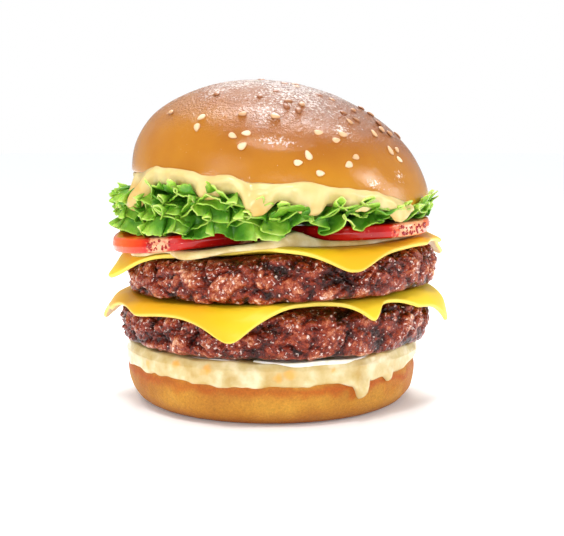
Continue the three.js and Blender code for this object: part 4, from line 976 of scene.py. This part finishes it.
def frilled_tier(plan, columns):
    """Points of one tier, row by row from its foot to its frilled edge, and how pale each is, with painted
    light and shade.
    """
    turn = np.linspace(*plan["span"], columns + 1)
    sweep = np.radians(turn)
    ring = around(sweep, FILLING_RADIUS, np.full_like(sweep, 9 * plan["phase"]))
    slow = 2 * lumps(ring, 11, 70) - 1
    quick = 2 * lumps(ring, 5, 71) - 1
    fast = 2 * lumps(ring, 2.4, 72) - 1
    edge_height = np.interp(turn, *zip(*plan["edge"])) + 1.0 * slow + 0.8 * quick
    droop = np.radians(np.interp(turn, *zip(*plan["droop"])) + 25 * slow)
    hang = plan["hang"] * (1 + 0.25 * quick + 0.15 * slow)
    along = np.linspace(0, 1, LETTUCE_OUTER_ROWS + 1)[:, None]
    curl = np.radians(LETTUCE_CURL) * (0.2 + 0.6 * quick + 0.2 * fast) * ease(along, 0.5, 1)
    angle = droop * ease(along, 0, 0.4) - curl
    step = hang / LETTUCE_OUTER_ROWS
    out = np.cumsum(np.cos(angle) * step, axis=0)
    down = np.cumsum(np.sin(angle) * step, axis=0)
    reach = np.interp(turn, *zip(*plan["reach"])) + 0.8 * slow
    radius = reach - out[-1] + out
    height = edge_height + down[-1] - down
    foot = np.linspace(0, 1, LETTUCE_INNER_ROWS + 1)[:-1, None]
    radius = np.concatenate([plan["foot"] + (radius[0] - plan["foot"]) * foot, radius])
    height = np.concatenate([height[0] + 0 * foot, height])
    angle = np.concatenate([0 * foot + 0 * sweep, angle])
    along = np.concatenate([foot * 0, along])
    inner = np.concatenate([foot, 0 * along[LETTUCE_INNER_ROWS:] + 1])

    # The frill: big folds with pleats between them, and crimps and teeth along the edge.
    pace = LETTUCE_FOLDS * (1 + 0.5 * slow + 0.35 * quick)
    fold = plan["phase"] + np.cumsum(pace) * (sweep[1] - sweep[0]) + 2.2 * quick * along
    second = 2.4 * fold + 3.4 * quick + 2 * slow - 1.6 * fast * along
    third = 7.1 * fold + 6 * fast
    strength = 1 + 0.5 * (2 * lumps(ring, 8, 73) - 1)
    growth = 0.35 * inner**3 + 0.65 * ease(along, 0, 0.9)
    late = ease(along, 0.25, 1)
    last = ease(along, 0.7, 1)
    ruffle = RUFFLE_DEPTH * growth * strength * (np.sin(fold + 0.6 * np.sin(fold + slow)) + 0.3 * quick)
    ruffle = ruffle + PLEAT_DEPTH * late * (0.7 + 0.6 * strength * fast) * np.sin(second)
    ruffle = ruffle + CRIMP_DEPTH * last * np.sin(third)
    teeth = TOOTH_LENGTH * np.abs(np.sin(0.5 * third + 1)) + SCALLOP_LENGTH * np.sin(second + 0.8)
    teeth = last * teeth
    swing = RUFFLE_SWING * growth * strength * np.sin(2 * fold + 0.6) + PLEAT_SWING * late * np.cos(second)
    heading = sweep + swing / FILLING_RADIUS
    radius = radius + ruffle * np.sin(np.abs(angle) * 0.8 + 0.25) + teeth * np.cos(angle)
    height = height + ruffle * np.cos(angle) * 0.75 - teeth * np.sin(angle)
    x = radius * np.cos(heading)
    y = radius * np.sin(heading)
    bed = tomato_bed(x, y) + TOMATO_THICKNESS + LEAF_GAP
    ceiling = np.maximum(crown_floor(x) - GAP, bed + LEAF_GAP)
    covered = under_tomato(x, y)
    height = np.maximum(height, bed - (1 - covered) * 9)
    roofed = ease(CROWN_RADIUS + 1 - np.hypot(x - CROWN_PLACE[0], y), 0, 2)
    height = np.minimum(height, ceiling + (1 - roofed) * 12)
    # How pale each point is: paler along the teeth, with painted light on the crests of the folds towards
    # the edge, and painted shade in their troughs and towards the foot.
    from_edge = (1 - along) * hang
    crest = 0.5 + 0.5 * np.sin(fold)
    frill = 0.16 * np.exp(-from_edge / 0.4) + 0.5 * along * crest - 0.1
    return np.stack([x, y, height], axis=-1), frill + 0 * sweep


# Curly lettuce: juicy green with a waxy gloss and pale yellow green along the teeth, with painted shade
# towards its heart and in the troughs of its folds, and painted light on their crests. Light shines through
# it.
curly_lettuce, tree = new_material("curly_lettuce")
place = add_node(tree, "TexCoord", output="Object")
frill = add_node(tree, "Attribute", attribute_name="frill", output="Fac")
blotches = add_node(tree, "TexNoise", {"Vector": place, "Scale": 1 / 0.005, "Detail": 4})
pale_and_shaded = add_node(tree, "Math", {0: blotches, 1: 0.7, 2: frill}, operation="MULTIPLY_ADD")
green = add_node(tree, "ValToRGB", {"Fac": pale_and_shaded}, stops=(
    (0.2, "#2A5E0E"), (1.0, "#C8DA78"), (0.38, "#4A8418"), (0.55, "#74A026"), (0.75, "#9CBC48")))
veins = add_node(tree, "TexVoronoi", {"Vector": place, "Scale": 1 / 0.003}, feature="DISTANCE_TO_EDGE")
raised = add_node(tree, "Bump", {"Height": veins, "Strength": 0.5, "Distance": 0.0007})
set_inputs(tree.nodes["Principled BSDF"], {
    "Base Color": green, "Normal": raised, "Roughness": 0.38, "IOR": 1.42, "Subsurface Weight": 0.5,
    "Subsurface Radius": (0.5, 1.0, 0.2), "Subsurface Scale": 0.0015})

for node, plans in LETTUCE_TIERS.items():
    tiers = []
    for order, plan in enumerate(plans):
        columns = COLUMNS_PER_DEGREE * (plan["span"][1] - plan["span"][0])
        rows = LETTUCE_INNER_ROWS + LETTUCE_OUTER_ROWS
        leaf, s, t = sheet(f"{node}_{order}", columns, rows)
        grid, frills = frilled_tier(plan, columns)
        column = np.round(s * columns).astype(int)
        row = np.round(t * rows).astype(int)
        press(leaf, grid[row, column])
        note(leaf, "frill", frills[row, column])
        tiers.append(leaf)
    leaf = join(tiers, node + "_leaves")
    apply_modifier(leaf, "SOLIDIFY", thickness=LETTUCE_THICKNESS * MM, offset=0)
    leaf.data.materials.append(curly_lettuce)
    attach(leaf, "root")
    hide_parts(node)

# ---- Yellow sauce under the crown -----------------------------------------------------------
# A thicker, yellower mayonnaise. The crown was pressed down on it, so it wells out round the
# edge, hugs the crust in a lip, and hangs in heavy drips.

CROWN_HEIGHT = 35.4
CROWN_EDGE = 4.4
CROWN_LEAN = 0.125
CROWN_SAUCE_GAP = 0.42
CROWN_SAUCE_SKIRT = 1.3
CROWN_SAUCE_TUCK = 2.6
CROWN_SAUCE_RAGS = [(1.6, 8), (0.7, 3)]  # depth and width of the ragged lip on the crust
CROWN_SAUCE_LIP = 1.2
CROWN_SAUCE_DRIPS = [
    # heading in degrees, depth, spread in degrees
    (-149, 9, 10), (-132, 1.4, 5), (-114, 3, 5.4), (-97, 5.6, 5.4), (-80, 3.8, 5), (-62, 1.4, 5),
    (-44, 3.2, 6), (47, 4, 4.6), (71, 2, 6), (103, 7, 4.8), (137, 3.6, 7),
]
DRIP_FULLNESS = 0.2
DRIP_BULGE, FULL_CROWN_DRIP = 0.9, 6
SMALL_DRIP_DEPTH, SMALL_DRIP_WIDTH = 1.8, 4.5
DRIPS_START, DRIPS_HANG_FREE = CROWN_RADIUS - 0.4, CROWN_RADIUS + 1.6
# Where the middle, the outside and the inside end on the way from below to above, and how much
# of the way out the middle takes up.
MIDDLE_END, OUTSIDE_END, INSIDE_END = 0.06, 0.7, 0.94
MIDDLE_SHARE = 0.84
CROWN_SAUCE_LIPS = [(-122, 5.6, 38), (-64, 6.4, 30), (58, 5.2, 30), (122, 5.4, 26)]


def on_crown(points):
    """Leans, tilts and lifts points of the crown into place."""
    x, y, z = np.asarray(points).T
    x = x - CROWN_LEAN * np.maximum(z, 0)
    tilt = math.radians(CROWN_TILT)
    return np.column_stack([
        CROWN_PLACE[0] + x * math.cos(tilt) + z * math.sin(tilt),
        CROWN_PLACE[1] + y,
        CROWN_PLACE[2] - x * math.sin(tilt) + z * math.cos(tilt),
    ])


def crown_skin(s):
    """Radius, height and the way out, at a distance along the skin from the end of the underside."""
    flat = CROWN_RADIUS - CROWN_EDGE
    bend = 1.2 * CROWN_EDGE
    angle = np.clip(s / bend, 0, 1) * np.pi / 2
    high = np.maximum(s - bend, 0)
    radius = np.where(s < 0, flat + s, flat + CROWN_EDGE * np.sin(angle))
    radius = np.where(s < bend, radius, CROWN_RADIUS * np.sqrt(1 - np.clip(high / CROWN_HEIGHT, 0, 1) ** 2))
    height = np.where(s < bend, -CROWN_UNDERSIDE * np.cos(angle), high)
    out_x, out_z = np.sin(angle) / CROWN_EDGE, -np.cos(angle) / CROWN_UNDERSIDE
    length = np.hypot(out_x, out_z)
    return radius, height, out_x / length, out_z / length


flow, heading, rise = ball("sauce_crown_mayonnaise", 520, 112)
flat = CROWN_RADIUS - CROWN_EDGE
near = share_of(rise, 0, MIDDLE_END) * MIDDLE_SHARE
outer = np.sin(share_of(rise, MIDDLE_END, OUTSIDE_END) * np.pi / 2)
back = share_of(rise, OUTSIDE_END, INSIDE_END)
home = share_of(rise, INSIDE_END, 1)
fraction = np.where(rise < MIDDLE_END, near, MIDDLE_SHARE + (1 - MIDDLE_SHARE) * outer)
fraction = np.where(rise > OUTSIDE_END, 1 - (1 - MIDDLE_SHARE) * back, fraction)
fraction = np.where(rise > INSIDE_END, MIDDLE_SHARE * (1 - home), fraction)
ring = around(heading, FILLING_RADIUS, np.zeros_like(heading))
lip = CROWN_SAUCE_TUCK + lobe_reach(CROWN_SAUCE_LIPS, heading) + bumps(ring, CROWN_SAUCE_RAGS, 80)
reach = fraction * (flat + lip) - flat
skin_radius, skin_height, out_x, out_z = crown_skin(reach)
small_drip = SMALL_DRIP_DEPTH * np.maximum(lumps(ring, SMALL_DRIP_WIDTH, 83) - 0.45, 0)
drip = lobe_reach(CROWN_SAUCE_DRIPS, heading) + small_drip
from_end = (flat + lip) * (1 - fraction)
onto_edge = share_of(skin_radius, flat, CROWN_RADIUS)
swell = (CROWN_SAUCE_SKIRT - CROWN_SAUCE_THICKNESS + DRIP_FULLNESS * drip) * onto_edge
along_skin = around(heading, skin_radius, skin_height)
ripple = (1.6 * (lumps(along_skin, 4, 82) - 0.55) + 0.7 * (lumps(along_skin, 1.8, 84) - 0.5)) * onto_edge
bead = 0.5 * bell(from_end, 1.6, 1.4) * onto_edge
thick = (CROWN_SAUCE_THICKNESS + swell + ripple + bead) * rounded(from_end / CROWN_SAUCE_LIP)
depth = np.where(rise <= OUTSIDE_END, thick + CROWN_SAUCE_GAP, -0.1)
radius = skin_radius + depth * out_x
height = skin_height + depth * out_z
hang = np.where(rise <= OUTSIDE_END, ease(radius, DRIPS_START, DRIPS_HANG_FREE), 0)
drop = hang * np.clip(1 - 0.28 * skin_height, 0, 1) * drip
low_bulge = DRIP_BULGE * np.clip(drip / FULL_CROWN_DRIP, 0, 1) * np.clip(drop / np.maximum(drip, 0.5), 0, 1)
press(flow, on_crown(around(heading, radius + low_bulge * hang, height - drop)))
# Lower down the drips the sauce turns more orange, partly as painted shade.
note(flow, "low", ease(drop - height, 0.5, 7))

# Yellow mayonnaise: richer and warmer than the cream one, glossy, with a soft glow inside, and more orange
# down the drips, partly as painted shade.
yellow_mayonnaise, tree = new_material("yellow_mayonnaise")
place = add_node(tree, "TexCoord", output="Object")
clouds = add_node(tree, "TexNoise", {"Vector": place, "Scale": 1 / 0.009, "Detail": 3})
low = add_node(tree, "Attribute", attribute_name="low", output="Fac")
lower = add_node(tree, "Math", {0: low, 1: 0.28, 2: clouds}, operation="MULTIPLY_ADD")
rich = add_node(tree, "ValToRGB", {"Fac": lower}, stops=(
    (0.3, "#DECC92"), (1.0, "#CC9C48"), (0.6, "#D4BA78")))
ripples = add_node(tree, "TexNoise", {"Vector": place, "Scale": 1 / 0.004, "Detail": 2})
raised = add_node(tree, "Bump", {"Height": ripples, "Strength": 0.2, "Distance": 0.001})
set_inputs(tree.nodes["Principled BSDF"], {
    "Base Color": rich, "Normal": raised, "Roughness": 0.26, "IOR": 1.46, "Subsurface Weight": 0.25,
    "Subsurface Radius": (1.0, 0.7, 0.35), "Subsurface Scale": 0.0015})
flow.data.materials.append(yellow_mayonnaise)
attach(flow, "root")
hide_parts("sauce_crown")

# ---- Crown ----------------------------------------------------------------------------------
# The upper half of the bun: a glazed dome that rose a little to one side in the oven. It is a
# ball pressed flat below, and it lies tilted on the filling.

CROWN_SWELLINGS = [(0.7, 17), (0.25, 6)]  # depth and width
DEGREES_PER_RADIAN = 57.3
CROWN_GLINT_PATCHES = [
    # heading in degrees, level, width and height of the patches of painted glints, where lamps reflect in
    # the pores
    (-91.5, 14.9, 7, 1.8), (-54.6, 5.6, 4.5, 2.0), (-40, 8.8, 3.5, 2.2), (-62, 20.5, 4, 1.8),
]

dome, heading, rise = ball("bun_crown_crust", 320, 160)
radius, height = section([
    (0.1, [[0, -CROWN_UNDERSIDE], [flat, -CROWN_UNDERSIDE]]),
    (0.1, arc((flat, 0), (CROWN_EDGE, CROWN_UNDERSIDE), -90, 0)),
    (0.8, arc((0, 0), (CROWN_RADIUS, CROWN_HEIGHT), 0, 90, 160)),
], rise)
points = around(heading, radius, height)
unit = points / [CROWN_RADIUS**2, CROWN_RADIUS**2, CROWN_HEIGHT**2]
unit = unit / np.linalg.norm(unit, axis=1)[:, None]
swelling = bumps(points, CROWN_SWELLINGS, 100) * ease(height, -0.5, 4)
press(dome, on_crown(points + unit * swelling[:, None]))
# Painted glints in a few patches, where lamps reflect in the pores of the glaze.
glint_patches = [
    bell((np.degrees(heading) - at) * radius / DEGREES_PER_RADIAN, 0, wide) * bell(height, level, high)
    for at, level, wide, high in CROWN_GLINT_PATCHES
]
note(dome, "glint_patches", np.sum(glint_patches, axis=0))

# Glazed wheat crust: egg-washed, golden brown on top and lighter towards the rim and the left, with a thin
# shiny skin that has fine wrinkles and pores, and pale painted glints in its pores near the top and in a
# few patches.
glazed_crust, tree = new_material("glazed_wheat_crust")
place = add_node(tree, "TexCoord", output="Object")
level = add_node(tree, "SeparateXYZ", {"Vector": place}, output="Z")
rightward = level.node.outputs["X"]
patches = add_node(tree, "TexNoise", {"Vector": place, "Scale": 1 / 0.022, "Detail": 3})
rise_share = add_node(tree, "MapRange", {
    "Value": level, "From Min": 0.068, "From Max": 0.108, "To Max": 0.62})
to_right = add_node(tree, "Math", {0: rightward, 1: 9, 2: 1}, operation="MULTIPLY_ADD")
right_share = add_node(tree, "Math", {0: to_right, 1: rise_share}, operation="MULTIPLY")
brown_share = add_node(tree, "Math", {0: patches, 1: 0.5, 2: right_share}, operation="MULTIPLY_ADD")
baked = add_node(tree, "ValToRGB", {"Fac": brown_share}, stops=(
    (0.1, "#CE9C2E"), (1.0, "#602A0C"), (0.38, "#B6760E"), (0.68, "#96540C")))
wrinkles = add_node(tree, "TexNoise", {
    "Vector": place, "Scale": 1 / 0.0024, "Detail": 5, "Roughness": 0.65, "Distortion": 0.6})
pores = add_node(tree, "TexNoise", {
    "Vector": place, "Scale": 1 / 0.0009, "Detail": 3, "Roughness": 0.7})
both = add_node(tree, "Math", {0: pores, 1: 0.8, 2: wrinkles}, operation="MULTIPLY_ADD")
higher = add_node(tree, "Math", {0: rightward, 1: 0.12, 2: level}, operation="MULTIPLY_ADD")
puckered = add_node(tree, "MapRange", {
    "Value": higher, "From Min": 0.086, "From Max": 0.099, "To Min": 0.14, "To Max": 1.0},
    interpolation_type="SMOOTHSTEP")
# Painted glints: pale specks in the pores, more of them high on top where the back lamp reflects, and in
# the glint patches.
uneven = add_node(tree, "Math", {0: patches, 1: 0.04, 2: higher}, operation="MULTIPLY_ADD")
shine = add_node(tree, "MapRange", {
    "Value": uneven, "From Min": 0.108, "From Max": 0.132, "To Max": 0.26},
    interpolation_type="SMOOTHSTEP")
glint_patches = add_node(tree, "Attribute", attribute_name="glint_patches", output="Fac")
spotted = add_node(tree, "Math", {0: glint_patches, 1: 0.24, 2: shine}, operation="MULTIPLY_ADD")
glint_pores = add_node(tree, "Math", {0: pores, 1: spotted}, operation="ADD")
specks = add_node(tree, "MapRange", {
    "Value": glint_pores, "From Min": 0.7, "From Max": 0.86, "To Max": 0.75})
glinting = add_node(tree, "Mix", {
    0: specks, 6: baked, 7: linear("#FFF2E8")}, data_type="RGBA", output=2)
raised = add_node(tree, "Bump", {"Height": both, "Strength": puckered, "Distance": 0.0008})
set_inputs(tree.nodes["Principled BSDF"], {
    "Base Color": glinting, "Normal": raised, "Coat Normal": raised, "Roughness": 0.5,
    "Specular IOR Level": 0.1, "Subsurface Weight": 0.08, "Subsurface Radius": (1.0, 0.5, 0.2),
    "Subsurface Scale": 0.002, "Coat Weight": 0.8, "Coat Roughness": 0.09})
dome.data.materials.append(glazed_crust)
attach(dome, "root")
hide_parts("bun_crown")

# ---- Sesame seeds ---------------------------------------------------------------------------
# Hulled white sesame, stuck to the glaze before baking. One teardrop is modelled, and each seed
# is a copy of it, turned and pressed a little way into the crust.

SEED_LENGTH = 3.4
SEED_WIDTH = 2.2
SEED_THICKNESS = 1.1
SEED_TAPER = 0.4
SEED_LEAST_SIZE, SEED_SIZE_SPREAD = 0.82, 0.24
SEED_LIFT = 0.15
SEED_LOWEST_HEIGHT = 7
SEED_RANDOM_START = 11
SEED_FRONT = (-155, -20)
SEED_CLUSTERS = [
    # heading, ring, count, for the clusters at the front
    (-147, 0.82, 1), (-130, 0.62, 1), (-125, 0.86, 2), (-107, 0.78, 1), (-105, 0.91, 3), (-102, 0.59, 1),
    (-92, 0.77, 1), (-93, 0.49, 1), (-82, 0.65, 4), (-82, 0.95, 2), (-76, 0.98, 1), (-74, 0.84, 1),
    (-72, 0.27, 3), (-65, 0.85, 2), (-63, 0.94, 2), (-53, 0.48, 2), (-52, 0.7, 3), (-43, 0.8, 1),
    (-40, 0.61, 1), (-36, 0.89, 3), (-28, 0.75, 3),
]
SEED_BACK_CLUSTERS = 28
GOLDEN_ANGLE = 137.5


def random_from(start):
    """A steady source of numbers between 0 and 1."""
    state = start
    while True:
        state = state * 16807 % (2**31 - 1)
        yield state / (2**31 - 1)


def seed_places():
    """Each seed's ring, heading and turn: the front clusters, and a sunflower's spiral behind."""
    draw = random_from(SEED_RANDOM_START)
    clusters = list(SEED_CLUSTERS)
    for order in range(SEED_BACK_CLUSTERS):
        heading = (GOLDEN_ANGLE * order + 30 * next(draw)) % 360 - 180
        ring = math.sqrt((order + 0.5) / SEED_BACK_CLUSTERS)
        count = 1 + int(2.4 * next(draw))
        if not (SEED_FRONT[0] < heading < SEED_FRONT[1] and ring > 0.2):
            clusters.append((heading, ring, count))
    places = []
    for heading, ring, count in clusters:
        first = 360 * next(draw)
        apart = 0 if count == 1 else 1.3 + 0.45 * count
        for member in range(count):
            around_by = math.radians(first + 360 * member / count + 40 * next(draw))
            steep = math.sqrt(1 + (CROWN_HEIGHT / CROWN_RADIUS) ** 2 * ring**2 / max(1 - ring**2, 0.03))
            across = ring + apart * math.sin(around_by) / CROWN_RADIUS / steep
            bearing = math.radians(heading) + apart * math.cos(around_by) / CROWN_RADIUS / max(ring, 0.2)
            places.append((across, bearing, 2 * math.pi * next(draw)))
    return places


seed, heading, rise = ball("seed", 14, 8)
x, y, z = corners_of(seed).T / 2
teardrop = np.column_stack([SEED_LENGTH * x, SEED_WIDTH * (1 - 2 * SEED_TAPER * x) * y, SEED_THICKNESS * z])
press(seed, teardrop)
widest = math.sqrt(1 - (SEED_LOWEST_HEIGHT / CROWN_HEIGHT) ** 2)
seeds = []
for order, (across, round_by, turn) in enumerate(seed_places()):
    share = min(across, widest)
    spot = np.array([
        CROWN_RADIUS * share * math.cos(round_by),
        CROWN_RADIUS * share * math.sin(round_by),
        CROWN_HEIGHT * math.sqrt(1 - share**2),
    ])
    out = spot / [CROWN_RADIUS**2, CROWN_RADIUS**2, CROWN_HEIGHT**2]
    out = out / np.linalg.norm(out)
    side = np.cross(out, [math.sin(turn), -math.cos(turn), 0.3])
    side = side / np.linalg.norm(side)
    ahead = np.cross(side, out)
    copy = own_copy(seed)
    grown = teardrop * (SEED_LEAST_SIZE + SEED_SIZE_SPREAD * scatter(np.array([[order, 3, 5]]), 4)[0])
    laid = grown @ np.array([ahead, side, out]) + spot + SEED_LIFT * out
    copy.data.vertices.foreach_set("co", (on_crown(laid) * MM).astype(np.float32).ravel())
    # A seed's shade: a random toast, darker higher on the crown, and painted shade towards its rim, where
    # it sits in the crust.
    shaded = scatter(np.array([[order, 1, 2]]), 9)[0] + 1.7 * ease(spot[2], 17, 27)
    note(copy, "shade", shaded / 3 + 0.35 * (1 - np.clip(2 * teardrop[:, 2] / SEED_THICKNESS, 0, 1)) ** 2)
    seeds.append(copy)
bpy.data.objects.remove(seed)
sesame = join(seeds, "sesame_seeds")

# Hulled sesame: ivory and waxy, a few toasted to tan, darker higher on the crown, and each with painted
# shade towards its edge, where it sits in the crust.
hulled_sesame, tree = new_material("hulled_sesame")
place = add_node(tree, "TexCoord", output="Object")
shade = add_node(tree, "Attribute", attribute_name="shade", output="Fac")
streaks = add_node(tree, "TexNoise", {"Vector": place, "Scale": 1 / 0.0012, "Detail": 2})
toast_and_shade = add_node(tree, "Math", {0: streaks, 1: 0.13, 2: shade}, operation="MULTIPLY_ADD")
ivory = add_node(tree, "ValToRGB", {"Fac": toast_and_shade}, stops=(
    (0.06, "#E6D0AE"), (0.95, "#8A5028"), (0.42, "#CFA274")))
set_inputs(tree.nodes["Principled BSDF"], {
    "Base Color": ivory, "Roughness": 0.38, "Subsurface Weight": 0.15,
    "Subsurface Radius": (1.0, 0.7, 0.4), "Subsurface Scale": 0.001})
sesame.data.materials.append(hulled_sesame)
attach(sesame, "root")
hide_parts("bun_crown")

# ---- Studio ---------------------------------------------------------------------------------
# A plain white board, eight soft lamps round the burger, and a dim wide one overhead that gives
# no glints. The camera is a long lens a little above the burger.

bpy.ops.object.select_all(action="DESELECT")
bpy.ops.mesh.primitive_plane_add(size=12)
table = bpy.context.object
table.name = "table_top"

# Matt white board: it glows a little, so that it stays white up to its far edge.
white_board, tree = new_material("matt_white_board")
set_inputs(tree.nodes["Principled BSDF"], {
    "Base Color": linear("#FAFCFF"), "Roughness": 0.9, "Emission Color": linear("#FFFFFF"),
    "Emission Strength": 0.05})
table.data.materials.append(white_board)

for name, place, aim, size, power in (
    # place, aim and size in metres, power in watts
    ("lamp_front_left", (-0.5, -0.6, 0.4), (0, 0, 0.06), 0.4, 0.9),
    ("lamp_key", (-0.2, -0.62, 0.11), (0, 0, 0.05), 0.04, 0.7),
    ("lamp_front_low", (0.1, -0.8, 0.14), (0, 0, 0.05), 0.3, 0.9),
    ("lamp_left_low", (-0.56, -0.46, 0.13), (0, 0, 0.06), 0.1, 0.5),
    ("lamp_right_low", (0.6, 0.02, 0.12), (0, 0, 0.06), 0.16, 0.5),
    ("lamp_right", (0.55, -0.14, 0.28), (0, 0, 0.06), 0.13, 0.8),
    ("lamp_front_top", (-0.02, -0.26, 0.62), (0, 0, 0.08), 0.08, 1.3),
    ("lamp_back", (0.04, 0.42, 0.6), (0, 0, 0.08), 0.3, 3.8),
):
    lamp = bpy.data.objects.new(name, bpy.data.lights.new(name, "AREA"))
    lamp.data.size = size
    lamp.data.energy = power
    lamp.location = place
    x, y, z = np.array(aim) - np.array(place)
    lamp.rotation_euler = (math.atan2(math.hypot(x, y), -z), 0, math.atan2(y, x) - math.pi / 2)
    bpy.context.collection.objects.link(lamp)
ceiling = bpy.data.objects.new("lamp_ceiling", bpy.data.lights.new("lamp_ceiling", "SUN"))
ceiling.data.energy = 1.75
ceiling.data.angle = math.radians(55)
ceiling.visible_glossy = False
ceiling.rotation_euler = (math.radians(-8), math.radians(-10), 0)
bpy.context.collection.objects.link(ceiling)

world = bpy.data.worlds.new("studio")
bpy.context.scene.world = world
world.use_nodes = True
seen = add_node(world.node_tree, "LightPath", output="Is Camera Ray")
bright = add_node(world.node_tree, "MapRange", {"Value": seen, "To Min": 0.48, "To Max": 1.0})
set_inputs(world.node_tree.nodes["Background"], {"Color": (1, 1, 1, 1), "Strength": bright})
bpy.context.scene.view_settings.view_transform = "Standard"

camera = bpy.data.objects.new("camera", bpy.data.cameras.new("camera"))
camera.data.sensor_width = 36
camera.data.lens = 68.71
camera.location = (0.0035, -0.38, 0.091)
camera.rotation_euler = (math.radians(90 - 6.89), 0, 0)
bpy.context.collection.objects.link(camera)
bpy.context.scene.camera = camera
